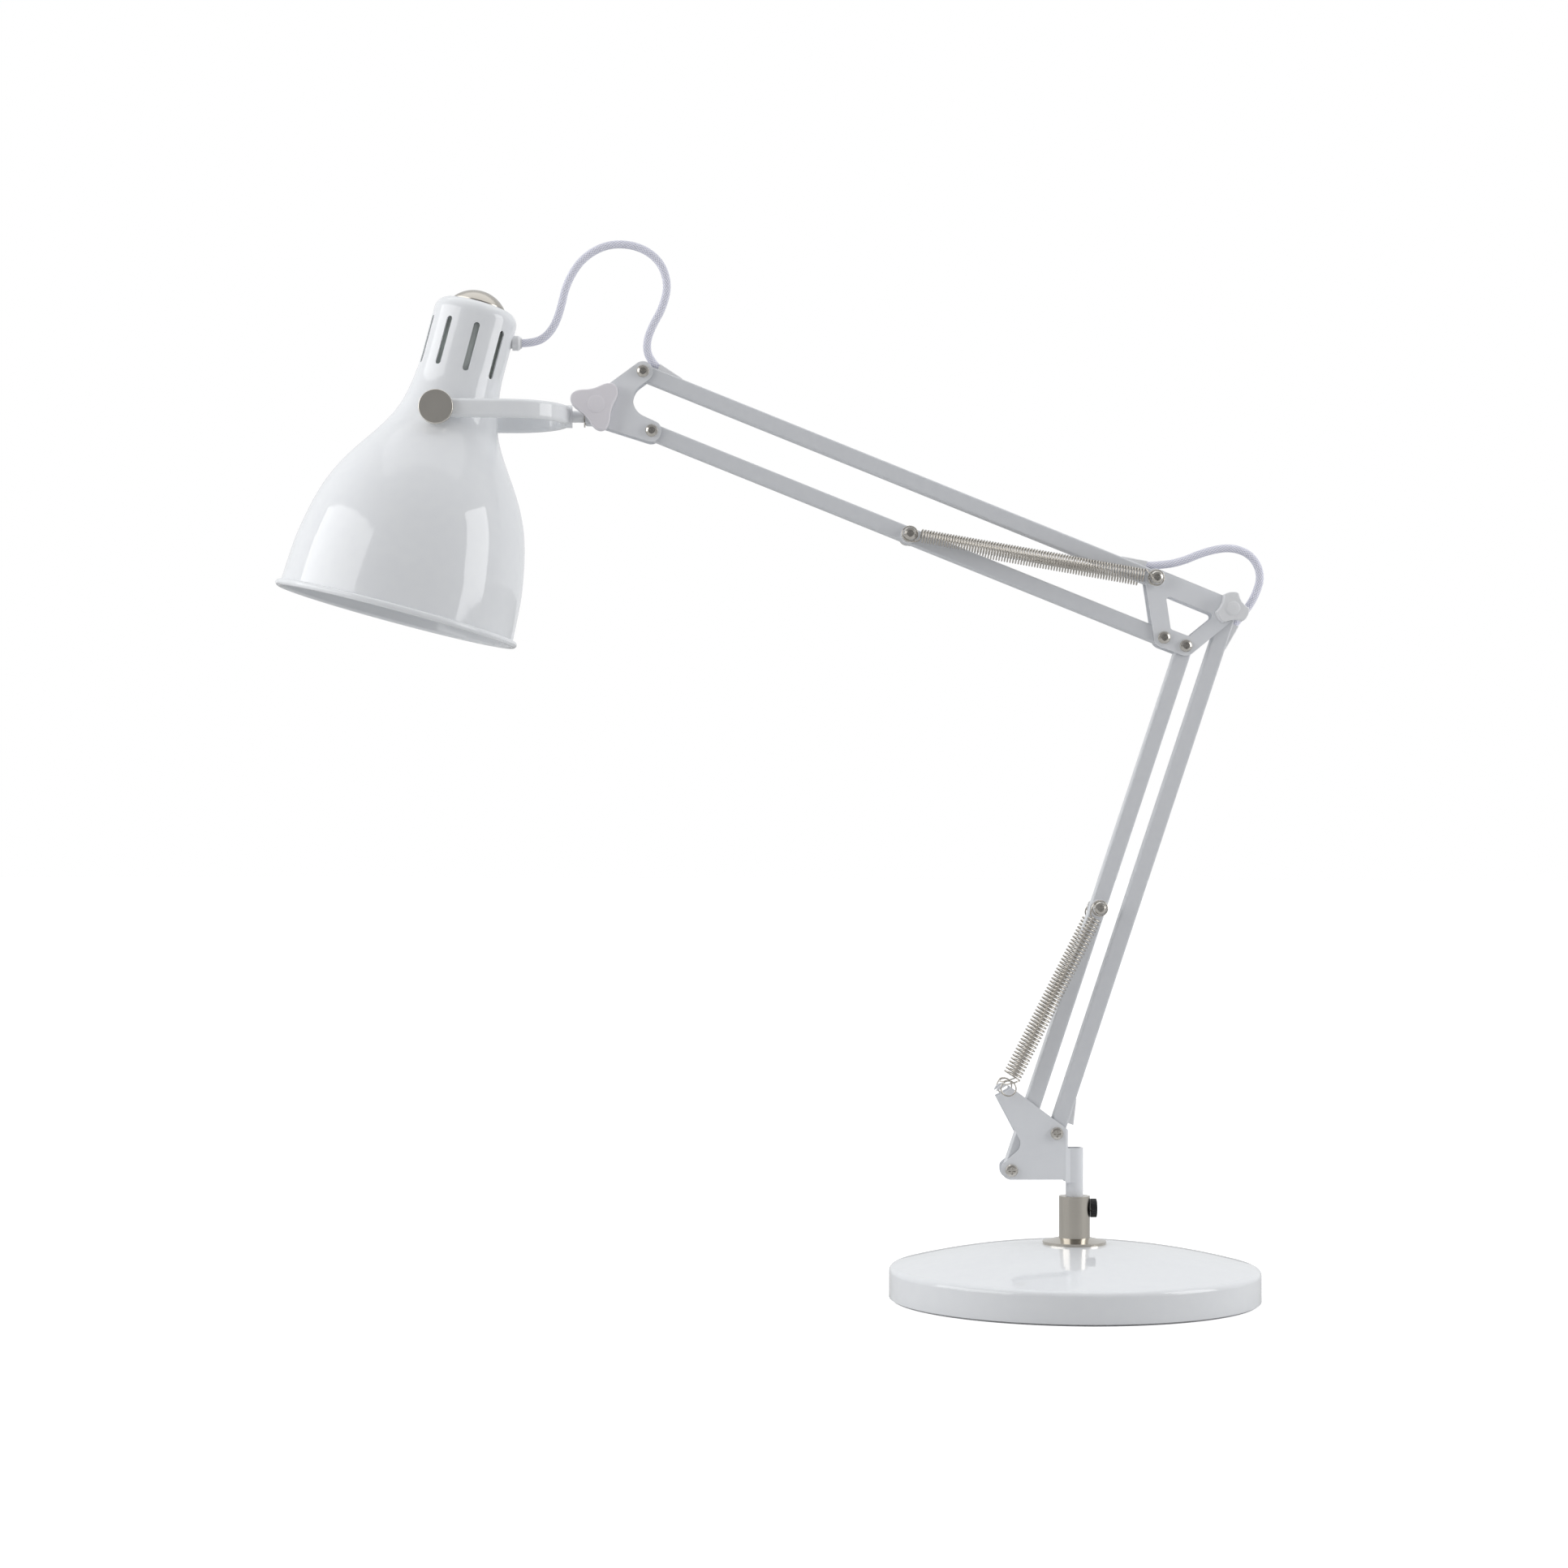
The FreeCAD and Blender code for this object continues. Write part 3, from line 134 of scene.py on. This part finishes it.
# ------------------------------------------------------------------ socket and flange
# The tube that the stem stands in and the flange under it are turned steel, nickel plated and
# brushed on the lathe, so the lines run round the axis and stretch the highlights along it.
def brushed_nickel(name, colour, roughness, fineness, turned=False):
    """Nickel with brush lines 0.25 mm apart: noise that is stretched by the shares in `fineness`
    along X, Y and Z. A turned piece has the distance from its axis in place of X."""
    nickel = new_material(name)
    lanes = add_node(nickel, "ShaderNodeTexCoord").outputs["Object"]
    if turned:
        apart = add_node(nickel, "ShaderNodeSeparateXYZ", {"Vector": lanes})
        flat = add_node(nickel, "ShaderNodeCombineXYZ", {
            "X": apart.outputs["X"], "Y": apart.outputs["Y"]})
        radius = add_node(
            nickel, "ShaderNodeVectorMath", {0: flat.outputs["Vector"]}, operation="LENGTH")
        lanes = add_node(nickel, "ShaderNodeCombineXYZ", {
            "X": radius.outputs["Value"], "Y": apart.outputs["Y"],
            "Z": apart.outputs["Z"]}).outputs["Vector"]
    lines_a_metre = 4000.0
    brush = add_node(nickel, "ShaderNodeMapping", {
        "Vector": lanes, "Scale": [lines_a_metre * share for share in fineness]})
    lines = add_node(nickel, "ShaderNodeTexNoise", {
        "Vector": brush.outputs["Vector"], "Scale": 1.0, "Detail": 3.0})
    shine = add_node(nickel, "ShaderNodeMapRange", {
        "Value": lines.outputs["Fac"], "To Min": roughness - 0.08, "To Max": roughness + 0.08})
    groove = add_node(nickel, "ShaderNodeBump", {
        "Height": lines.outputs["Fac"], "Strength": 0.25, "Distance": 0.00005})
    body = add_node(nickel, "ShaderNodeBsdfPrincipled", {
        "Base Color": linear(colour), "Metallic": 1.0, "Roughness": shine.outputs["Result"],
        "Normal": groove.outputs["Normal"]})
    add_node(nickel, "ShaderNodeOutputMaterial", {"Surface": body.outputs["BSDF"]})
    return nickel


paint(brushed_nickel("lathe_brushed_nickel", "#C6C1B8", 0.22, (1.0, 0.02, 1.0), turned=True),
      "socket_tube", "socket_flange", "socket_nut")


# ------------------------------------------------------------------ thumbscrew
# A moulded black nylon head on a steel stud. It clamps the stem in its tube.
def moulded_nylon(name, colour, roughness):
    """Nylon: IOR 1.53, with the 0.5 mm spark texture of its mould and a shine that varies in
    clouds 11 mm across."""
    nylon = new_material(name)
    place = add_node(nylon, "ShaderNodeTexCoord").outputs["Object"]
    spark = add_node(nylon, "ShaderNodeTexNoise", {"Vector": place, "Scale": 2000.0, "Detail": 2.0})
    cloud = add_node(nylon, "ShaderNodeTexNoise", {"Vector": place, "Scale": 90.0, "Detail": 1.0})
    shine = add_node(nylon, "ShaderNodeMapRange", {
        "Value": cloud.outputs["Fac"], "To Min": roughness - 0.05, "To Max": roughness + 0.05})
    texture = add_node(nylon, "ShaderNodeBump", {
        "Height": spark.outputs["Fac"], "Strength": 0.12, "Distance": 0.00005})
    body = add_node(nylon, "ShaderNodeBsdfPrincipled", {
        "Base Color": linear(colour), "Roughness": shine.outputs["Result"], "IOR": 1.53,
        "Normal": texture.outputs["Normal"]})
    add_node(nylon, "ShaderNodeOutputMaterial", {"Surface": body.outputs["BSDF"]})
    return nylon


paint(moulded_nylon("black_nylon", "#17181A", 0.38), "thumbscrew_knob")


def turned_steel():
    """Plain bright steel with 0.3 mm tool marks."""
    steel = new_material("turned_steel")
    place = add_node(steel, "ShaderNodeTexCoord").outputs["Object"]
    marks = add_node(steel, "ShaderNodeTexNoise", {"Vector": place, "Scale": 3000.0, "Detail": 2.0})
    shine = add_node(steel, "ShaderNodeMapRange", {
        "Value": marks.outputs["Fac"], "To Min": 0.24, "To Max": 0.38})
    body = add_node(steel, "ShaderNodeBsdfPrincipled", {
        "Base Color": linear("#B9B8B5"), "Metallic": 1.0, "Roughness": shine.outputs["Result"]})
    add_node(steel, "ShaderNodeOutputMaterial", {"Surface": body.outputs["BSDF"]})
    return steel


paint(turned_steel(), "thumbscrew_stud", "base_pivot_sleeves", "elbow_pivot_sleeves",
      "head_pivot_sleeves")


# ------------------------------------------------------------------ brackets, bars and plates
# Pressed sheet and square steel tube, powder coated. The baked powder is satin, and a close
# look shows the fine pimples where its grains melted together.
def powder_coat(name, dark, light):
    """Powder coat: a dielectric with pimples 0.7 mm apart, whose tone wanders from dark to light
    in waves of 5 mm."""
    coat = new_material(name)
    place = add_node(coat, "ShaderNodeTexCoord").outputs["Object"]
    pimples = add_node(coat, "ShaderNodeTexNoise", {"Vector": place, "Scale": 1400.0, "Detail": 1.0})
    waves = add_node(coat, "ShaderNodeTexNoise", {"Vector": place, "Scale": 200.0, "Detail": 1.0})
    shine = add_node(coat, "ShaderNodeMapRange", {
        "Value": waves.outputs["Fac"], "To Min": 0.26, "To Max": 0.36})
    tone = add_node(coat, "ShaderNodeValToRGB", {"Fac": waves.outputs["Fac"]})
    tone.color_ramp.elements[0].color = linear(dark)
    tone.color_ramp.elements[1].color = linear(light)
    skin = add_node(coat, "ShaderNodeBump", {
        "Height": pimples.outputs["Fac"], "Strength": 0.06, "Distance": 0.00005})
    body = add_node(coat, "ShaderNodeBsdfPrincipled", {
        "Base Color": tone.outputs["Color"], "Roughness": shine.outputs["Result"], "IOR": 1.5,
        "Normal": skin.outputs["Normal"]})
    add_node(coat, "ShaderNodeOutputMaterial", {"Surface": body.outputs["BSDF"]})
    return coat


paint(powder_coat("plate_powder_coat", "#E2E4E8", "#E6E8EB"), "base_bracket", "elbow_plates",
      "head_plates", "pivot_block")
paint(powder_coat("bar_powder_coat", "#D4D6DA", "#DADCDF"), "lower_left_bar", "lower_right_bar",
      "upper_top_bar", "upper_bottom_bar")


# ------------------------------------------------------------------ screws, nuts and bolts
# Cold-headed M4 screws and their nuts, bright nickel plated. Handling leaves the heads with
# fine scratches, so they glint unevenly.
def bright_nickel():
    """Bright nickel with scratches 0.4 mm apart."""
    nickel = new_material("bright_nickel_plate")
    place = add_node(nickel, "ShaderNodeTexCoord").outputs["Object"]
    rub = add_node(nickel, "ShaderNodeTexNoise", {
        "Vector": place, "Scale": 900.0, "Detail": 3.0, "Distortion": 1.5})
    shine = add_node(nickel, "ShaderNodeMapRange", {
        "Value": rub.outputs["Fac"], "To Min": 0.08, "To Max": 0.30})
    dents = add_node(nickel, "ShaderNodeBump", {
        "Height": rub.outputs["Fac"], "Strength": 0.15, "Distance": 0.00008})
    body = add_node(nickel, "ShaderNodeBsdfPrincipled", {
        "Base Color": linear("#CFCBC4"), "Metallic": 1.0, "Roughness": shine.outputs["Result"],
        "Normal": dents.outputs["Normal"]})
    add_node(nickel, "ShaderNodeOutputMaterial", {"Surface": body.outputs["BSDF"]})
    return nickel


plated = bright_nickel()
paint(plated, "base_pivot_screws", "base_pivot_nuts", "elbow_pivot_screws", "elbow_pivot_nuts",
      "elbow_spring_bolt", "elbow_spring_nut", "lower_spring_bolt", "lower_spring_nut",
      "upper_spring_bolt", "upper_spring_nut", "head_pivot_screws", "head_pivot_nuts",
      "elbow_knob_bolt", "head_knob_bolt", "trunnion_nuts", "yoke_washers")


# ------------------------------------------------------------------ knobs, hoods and spools
# Injection moulded nylon: the clamping knobs, the hoods that the cord comes out of, the
# spools that hold the springs off the bars, the shade's bushes and the cord's gland.
paint(moulded_nylon("white_nylon", "#E6E7E9", 0.36), "lower_cord_hoods", "upper_cord_hoods",
      "elbow_knob", "cord_gland", "trunnion_bushes", "lower_spring_spools",
      "upper_spring_spools", "elbow_spring_spools")
paint(moulded_nylon("lilac_white_nylon", "#E6E3E8", 0.42), "head_knob")


# ------------------------------------------------------------------ trunnions and cap
# The trunnion discs are faced and brushed straight across. The cap is a spun nickel dome.
paint(brushed_nickel("straight_brushed_nickel", "#DAD6CE", 0.34, (1.0, 0.02, 0.03)),
      "trunnion_screws")
paint(brushed_nickel("spun_nickel", "#B6B1A9", 0.24, (0.3, 0.02, 0.3)), "shade_cap")


# ------------------------------------------------------------------ lampholder
# A moulded pale grey holder in two halves, with a pressed brass shell inside for the bulb.
paint(moulded_nylon("pale_grey_holder", "#EDF3F0", 0.4), "lampholder_skirt", "lampholder_dome")


def pressed_brass():
    """Brass with 0.8 mm stains."""
    brass = new_material("pressed_brass")
    place = add_node(brass, "ShaderNodeTexCoord").outputs["Object"]
    stain = add_node(brass, "ShaderNodeTexNoise", {"Vector": place, "Scale": 1200.0, "Detail": 3.0})
    shine = add_node(brass, "ShaderNodeMapRange", {
        "Value": stain.outputs["Fac"], "To Min": 0.2, "To Max": 0.4})
    body = add_node(brass, "ShaderNodeBsdfPrincipled", {
        "Base Color": linear("#D9B978"), "Metallic": 1.0, "Roughness": shine.outputs["Result"]})
    add_node(brass, "ShaderNodeOutputMaterial", {"Surface": body.outputs["BSDF"]})
    return brass


paint(pressed_brass(), "lampholder_thread", "lampholder_contact", "lampholder_nipple")


# ------------------------------------------------------------------ cord loops
# Two-core flex in a white textile braid, 5 mm over all. One loop of it crosses from the shade
# to the upper bar and one from the upper bar to the lower. Each is cut into lengths, one for
# each joint that it crosses.
cord_r = 0.0025
strands = 10
stitch = 0.0022
ridge = 0.00016
rows_a_loop = 900
points_round_cord = 60


def route_line(points, count):
    """The smooth line of a route: points on its NURBS spline, spaced evenly along it."""
    data = bpy.data.curves.new("route", "CURVE")
    data.dimensions = "3D"
    data.resolution_u = 32
    spline = data.splines.new("NURBS")
    spline.points.add(len(points) - 1)
    spline.points.foreach_set("co", np.array([[x, 0, z, 1] for x, z in points]).ravel())
    spline.order_u = 3
    spline.use_endpoint_u = True
    holder = bpy.data.objects.new("route", data)
    mesh = bpy.data.meshes.new_from_object(holder)
    line = np.empty(len(mesh.vertices) * 3)
    mesh.vertices.foreach_get("co", line)
    line = line.reshape(-1, 3)
    bpy.data.objects.remove(holder)
    bpy.data.curves.remove(data)
    bpy.data.meshes.remove(mesh)
    run = np.append(0, np.cumsum(np.linalg.norm(np.diff(line, axis=0), axis=1)))
    even = np.linspace(0, run[-1], count)
    return np.stack([np.interp(even, run, line[:, axis]) for axis in range(3)], axis=1), even


def grid_mesh(name, points, uv):
    """A closed mesh from a grid of points, rows along and columns round, with a UV map. Each end
    is closed by a fan of triangles about its middle."""
    rows, columns = points.shape[:2]
    index = np.arange(rows * columns).reshape(rows, columns)
    right = np.roll(index, -1, axis=1)
    quads = np.stack([index[:-1], right[:-1], right[1:], index[1:]], axis=-1).reshape(-1, 4)
    ends = np.array([points[0].mean(axis=0), points[-1].mean(axis=0)])
    vertices = np.concatenate([points.reshape(-1, 3), ends])
    first, last = rows * columns, rows * columns + 1
    faces = quads.tolist()
    faces += [[first, b, a] for a, b in zip(index[0].tolist(), right[0].tolist())]
    faces += [[last, a, b] for a, b in zip(index[-1].tolist(), right[-1].tolist())]
    mesh = bpy.data.meshes.new(name)
    mesh.from_pydata(vertices.tolist(), [], faces)
    corner = np.empty(len(mesh.loops), dtype=np.int64)
    mesh.loops.foreach_get("vertex_index", corner)
    flat = np.concatenate([uv.reshape(-1, 2), [[0, uv[0, 0, 1]], [0, uv[-1, 0, 1]]]])
    layer = mesh.uv_layers.new(name="surface")
    layer.data.foreach_set("uv", flat[corner].ravel())
    mesh.shade_smooth()
    piece = bpy.data.objects.new(name, mesh)
    bpy.context.scene.collection.objects.link(piece)
    return piece


def tube(name, line, along, side, round_count, radius):
    """A closed tube: at each point of the line, a ring of the given radius (a function of the
    angle and the distance along) in the plane of `side` and the line's own cross direction."""
    forward = np.gradient(line, axis=0)
    forward /= np.linalg.norm(forward, axis=1)[:, None]
    side = side - np.sum(side * forward, axis=1)[:, None] * forward
    side = side / np.linalg.norm(side, axis=1)[:, None]
    up = np.cross(forward, side)
    angle = np.linspace(0, 2 * math.pi, round_count, endpoint=False)
    reach = np.broadcast_to(radius(angle[None, :], along[:, None]), (len(line), round_count))
    cosine, sine = np.cos(angle)[None, :, None], np.sin(angle)[None, :, None]
    out = cosine * side[:, None, :] + sine * up[:, None, :]
    points = line[:, None, :] + reach[:, :, None] * out
    uv = np.stack(np.broadcast_arrays(angle[None, :] / (2 * math.pi), along[:, None]), axis=-1)
    return grid_mesh(name, points, uv)


def braid(angle, along):
    """The braid's surface: two sets of strands wind round opposite ways, each a row of round
    ridges, and at each crossing they take turns to lie on top."""
    a = strands * angle / (2 * math.pi) + along / stitch
    b = strands * angle / (2 * math.pi) - along / stitch
    over_a = 0.5 + 0.5 * np.sin(math.pi * (a + b)) * np.sin(math.pi * (a - b))
    height_a = np.abs(np.cos(math.pi * a)) * over_a
    height_b = np.abs(np.cos(math.pi * b)) * (1 - over_a)
    return cord_r - ridge + ridge * 2 * np.maximum(height_a, height_b)


def textile_braid():
    """Cotton braid: matt, with painted shade in the gaps between its stitches and a faint violet cast.
    """
    cloth = new_material("textile_braid")
    uv = add_node(cloth, "ShaderNodeUVMap", uv_map="surface").outputs["UV"]
    apart = add_node(cloth, "ShaderNodeSeparateXYZ", {"Vector": uv})
    round_turns = add_node(cloth, "ShaderNodeMath", {
        0: apart.outputs["X"], 1: float(strands)}, operation="MULTIPLY")
    along_turns = add_node(cloth, "ShaderNodeMath", {
        0: apart.outputs["Y"], 1: stitch}, operation="DIVIDE")
    ridges = []
    for operation in ("ADD", "SUBTRACT"):
        phase = add_node(cloth, "ShaderNodeMath", {
            0: round_turns.outputs["Value"], 1: along_turns.outputs["Value"]}, operation=operation)
        turn = add_node(cloth, "ShaderNodeMath", {0: phase.outputs["Value"], 1: math.pi},
                        operation="MULTIPLY")
        wave = add_node(cloth, "ShaderNodeMath", {0: turn.outputs["Value"]}, operation="COSINE")
        ridges.append(add_node(cloth, "ShaderNodeMath", {0: wave.outputs["Value"]},
                               operation="ABSOLUTE"))
    # Painted shade: where either set of strands dips between its ridges, the colour runs to a darker
    # violet grey.
    top = add_node(cloth, "ShaderNodeMath", {
        0: ridges[0].outputs["Value"], 1: ridges[1].outputs["Value"]}, operation="MULTIPLY")
    tone = add_node(cloth, "ShaderNodeValToRGB", {"Fac": top.outputs["Value"]})
    tone.color_ramp.elements[0].color = linear("#B9BBD3")
    tone.color_ramp.elements[1].color = linear("#F1F1F8")
    tone.color_ramp.elements[1].position = 0.5
    body = add_node(cloth, "ShaderNodeBsdfPrincipled", {
        "Base Color": tone.outputs["Color"], "Roughness": 0.75, "Sheen Weight": 0.2,
        "Sheen Roughness": 0.4})
    add_node(cloth, "ShaderNodeOutputMaterial", {"Surface": body.outputs["BSDF"]})
    return cloth


head_route = [
    (-0.347689, 0.591655), (-0.340689, 0.591655), (-0.331557, 0.594194), (-0.324757, 0.601994),
    (-0.320557, 0.613994), (-0.317457, 0.628994), (-0.307957, 0.644994), (-0.291957, 0.654294),
    (-0.273457, 0.653494), (-0.259457, 0.644494), (-0.253957, 0.629494), (-0.257557, 0.614494),
    (-0.264057, 0.603194), (-0.267857, 0.591894), (-0.265679, 0.582107), (-0.259264, 0.575795),
]
elbow_route = [
    (0.042913, 0.456154), (0.051910, 0.456363), (0.065968, 0.458464), (0.081968, 0.465464),
    (0.098468, 0.468364), (0.111468, 0.462964), (0.117168, 0.450764), (0.113368, 0.438164),
    (0.106671, 0.427498), (0.098746, 0.418488),
]
braid_material = textile_braid()


def cord_loop(cad_node, route, lengths):
    """One loop of flex, cut where the body on its route changes: each length is a share of the
    whole line. The two bodies named with each length are not used."""
    line, along = route_line(route, rows_a_loop)
    start = 0
    for number, (share, body, next_body) in enumerate(lengths, 1):
        end = round(share * (len(line) - 1))
        part, run = line[start:end + 1], along[start:end + 1]
        side = np.tile([0.0, 1.0, 0.0], (len(part), 1))
        piece = tube(f"{cad_node}_{number}", part, run, side, points_round_cord, braid)
        piece.data.materials.append(braid_material)
        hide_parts(cad_node)
        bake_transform(piece)
        start = end


cord_loop("head_cord", head_route, [
    (0.25, "head", "fork"), (0.50, "fork", "tilt_block"), (0.70, "tilt_block", "head_bracket"),
    (1.0, "head_bracket", "upper_top_arm")])
cord_loop("elbow_cord", elbow_route, [
    (0.5, "upper_top_arm", "elbow"), (1.0, "elbow", "lower_right_arm")])
paint(braid_material, "lower_bar_cord", "upper_bar_cord")


# ------------------------------------------------------------------ springs
# Four tension springs wound from 0.9 mm wire, nickel plated. The last turn at each end is bent
# up into a ring that goes round a spool or through the bracket's hook.
wire_r = 0.00045
coil_r = 0.00395
ring_r = 0.0047
ring_turns = 1.0
swing_turns = 0.75
coil_start = 0.0075
wire_end_gap = 0.02
rows_a_turn = 22
points_round_wire = 8
spring_side = 0.012
elbow_pin = (0.049256, 0.447727)
upper_bar_pin = (-0.10424, 0.47389)
bracket_hook = (-0.042513, 0.131372)
lower_bar_pin = (0.01406, 0.24263)


def spring_line(start, end, turns):
    """The wire's middle line, the direction out of its coil and the share of the way from anchor
    to anchor. The wire runs in a full ring in the arm plane about the first anchor, then a coil
    along the line between the anchors, then a full ring about the other. Between ring and coil
    the circle's plane swings round by a right angle, its middle moves on to where the coil
    starts and its radius eases from one to the other. The ends stop a little short, by a share
    of a turn, so that the wire doesn't run into itself."""
    start, end = np.array(start), np.array(end)
    length = np.linalg.norm(end - start)
    axis = (end - start) / length
    out = np.array([0.0, 1.0, 0.0])
    cross = np.cross(out, axis)
    hook = ring_turns + swing_turns
    total = turns + 2 * hook
    turn = np.linspace(wire_end_gap, total - wire_end_gap, round(total * rows_a_turn))
    from_end = np.minimum(turn, total - turn)
    far_half = turn > total / 2
    swing = np.clip((from_end - ring_turns) / swing_turns, 0, 1)
    swing = swing * swing * (3 - 2 * swing)
    middle = coil_start + (turn - hook) / turns * (length - 2 * coil_start)
    middle = np.where(from_end < hook, coil_start * swing, middle)
    middle = np.where((from_end < hook) & far_half, length - coil_start * swing, middle)
    radius = ring_r + (coil_r - ring_r) * swing
    tip = swing * math.pi / 2
    side = np.where(far_half, -1.0, 1.0)[:, None]
    angle = 2 * math.pi * turn - 1.5 * math.pi
    second = side * np.cos(tip)[:, None] * axis + np.sin(tip)[:, None] * out
    radial = np.cos(angle)[:, None] * cross + np.sin(angle)[:, None] * second
    line = start + middle[:, None] * axis + radius[:, None] * radial
    return line, radial, middle / length


def spring_plate():
    """Nickel on drawn wire: bright, with 0.6 mm patches that have dulled."""
    nickel = new_material("nickel_spring_wire")
    place = add_node(nickel, "ShaderNodeTexCoord").outputs["Object"]
    patches = add_node(nickel, "ShaderNodeTexNoise", {"Vector": place, "Scale": 1600.0, "Detail": 2.0})
    shine = add_node(nickel, "ShaderNodeMapRange", {
        "Value": patches.outputs["Fac"], "To Min": 0.14, "To Max": 0.34})
    body = add_node(nickel, "ShaderNodeBsdfPrincipled", {
        "Base Color": linear("#C9C4BC"), "Metallic": 1.0, "Roughness": shine.outputs["Result"]})
    add_node(nickel, "ShaderNodeOutputMaterial", {"Surface": body.outputs["BSDF"]})
    return nickel


wire_material = spring_plate()


def spring_pair(cad_node, start, end, turns, follow):
    """The near and the far spring of an arm. Each is cut into lengths at the shares of its line in
    `follow`. The second number of each entry, how far the cut goes with the moving body, is not
    used."""
    for side_name, depth in (("near", -spring_side), ("far", spring_side)):
        anchor = np.array([start[0], depth, start[1]])
        way = np.array([end[0], depth, end[1]]) - anchor
        line, radial, share = spring_line(anchor, anchor + way, turns)
        along = np.append(0, np.cumsum(np.linalg.norm(np.diff(line, axis=0), axis=1)))
        cuts = [0] + [int(np.searchsorted(share, at)) for at, _ in follow[1:-1]] + [len(line) - 1]
        for number, (first, last) in enumerate(zip(cuts, cuts[1:])):
            part = slice(first, last + 1)
            piece_name = f"{cad_node}_{side_name}_{number + 1}"
            piece = tube(piece_name, line[part], along[part], radial[part], points_round_wire,
                         lambda angle, run: wire_r)
            piece.data.materials.append(wire_material)
            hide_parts(cad_node)
            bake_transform(piece)


spring_pair("upper_springs", elbow_pin, upper_bar_pin, 80,
            [(0.03, 0), (0.1, 0.70), (0.25, 0.88), (0.5, 0.955), (1, 1)])
spring_pair("lower_springs", bracket_hook, lower_bar_pin, 49,
            [(0.035, 0), (0.15, 0.40), (0.35, 0.67), (0.65, 0.88), (1, 1)])


# ------------------------------------------------------------------ studio
# A pale floor under soft light. For the camera only, the floor glows and the backdrop is white.
# The room that lights the lamp is pale behind it and grey in front. The softboxes give the
# enamel its tall reflections.
floor_mesh = bpy.data.meshes.new("floor")
floor_half = 30.0
floor_mesh.from_pydata(
    [(-floor_half, -floor_half, 0), (floor_half, -floor_half, 0), (floor_half, floor_half, 0),
     (-floor_half, floor_half, 0)], [], [(0, 1, 2, 3)])
floor = bpy.data.objects.new("floor", floor_mesh)
bpy.context.scene.collection.objects.link(floor)
pale = new_material("pale_floor")
glow = add_node(pale, "ShaderNodeMath", {
    0: add_node(pale, "ShaderNodeLightPath").outputs["Is Camera Ray"], 1: 0.8}, operation="MULTIPLY")
pale_body = add_node(pale, "ShaderNodeBsdfPrincipled", {
    "Base Color": linear("#C8C8C8"), "Roughness": 0.9, "Specular IOR Level": 0.0,
    "Emission Color": (1, 1, 1, 1), "Emission Strength": glow.outputs["Value"]})
add_node(pale, "ShaderNodeOutputMaterial", {"Surface": pale_body.outputs["BSDF"]})
floor_mesh.materials.append(pale)

room = bpy.data.worlds.new("room")
bpy.context.scene.world = room
room.use_nodes = True
room.node_tree.nodes.clear()
direction = add_node(room, "ShaderNodeTexCoord").outputs["Generated"]
away = add_node(room, "ShaderNodeSeparateXYZ", {"Vector": direction}).outputs["Y"]
share = add_node(room, "ShaderNodeMapRange", {"Value": away, "From Min": -1.0, "From Max": 0.4})
shade_of_grey = add_node(room, "ShaderNodeValToRGB", {"Fac": share.outputs["Result"]})
shade_of_grey.color_ramp.elements[0].color = (0.20, 0.20, 0.205, 1)
shade_of_grey.color_ramp.elements[1].color = (0.78, 0.79, 0.80, 1)
shade_of_grey.color_ramp.elements.new(0.22).color = (0.33, 0.33, 0.335, 1)
light = add_node(room, "ShaderNodeBackground", {"Color": shade_of_grey.outputs["Color"]})
backdrop = add_node(room, "ShaderNodeBackground", {"Color": (1, 1, 1, 1)})
seen = add_node(room, "ShaderNodeLightPath").outputs["Is Camera Ray"]
either = add_node(room, "ShaderNodeMixShader", {
    0: seen, 1: light.outputs["Background"], 2: backdrop.outputs["Background"]})
add_node(room, "ShaderNodeOutputWorld", {"Surface": either.outputs["Shader"]})


def softbox(name, place, target, size, power):
    """A rectangular lamp of the given width and height, at place, facing target."""
    data = bpy.data.lights.new(name, "AREA")
    data.shape = "RECTANGLE"
    data.size, data.size_y = size
    data.energy = power
    lamp = bpy.data.objects.new(name, data)
    bpy.context.scene.collection.objects.link(lamp)
    lamp.location = place
    lamp.rotation_euler = (Vector(target) - Vector(place)).to_track_quat("-Z", "Y").to_euler()


softbox("left_softbox", (-2.05, -0.55, 1.0), (-0.35, 0, 0.45), (2.4, 1.3), 22.0)
softbox("right_softbox", (1.45, -0.5, 0.8), (-0.2, 0, 0.4), (0.9, 1.2), 11.5)
softbox("top_softbox", (-0.2, 0.1, 1.8), (-0.2, 0, 0.0), (1.8, 1.4), 5.5)

# ------------------------------------------------------------------ camera
# It stands low in front of the lamp and looks slightly up at it, with a long lens.
eye = bpy.data.cameras.new("camera")
eye.sensor_width = 36.0
eye.lens = 72.67
camera = bpy.data.objects.new("camera", eye)
bpy.context.scene.collection.objects.link(camera)
bpy.context.scene.camera = camera
camera.location = (-0.2629, -1.961, 0.2767)
yaw, pitch, roll = (math.radians(a) for a in (2.385, 1.236, 0.172))
camera.rotation_euler = (
    Matrix.Rotation(-yaw, 3, "Z") @ Matrix.Rotation(math.pi / 2 + pitch, 3, "X")
    @ Matrix.Rotation(roll, 3, "Z")).to_euler()
bpy.context.scene.view_settings.view_transform = "Standard"
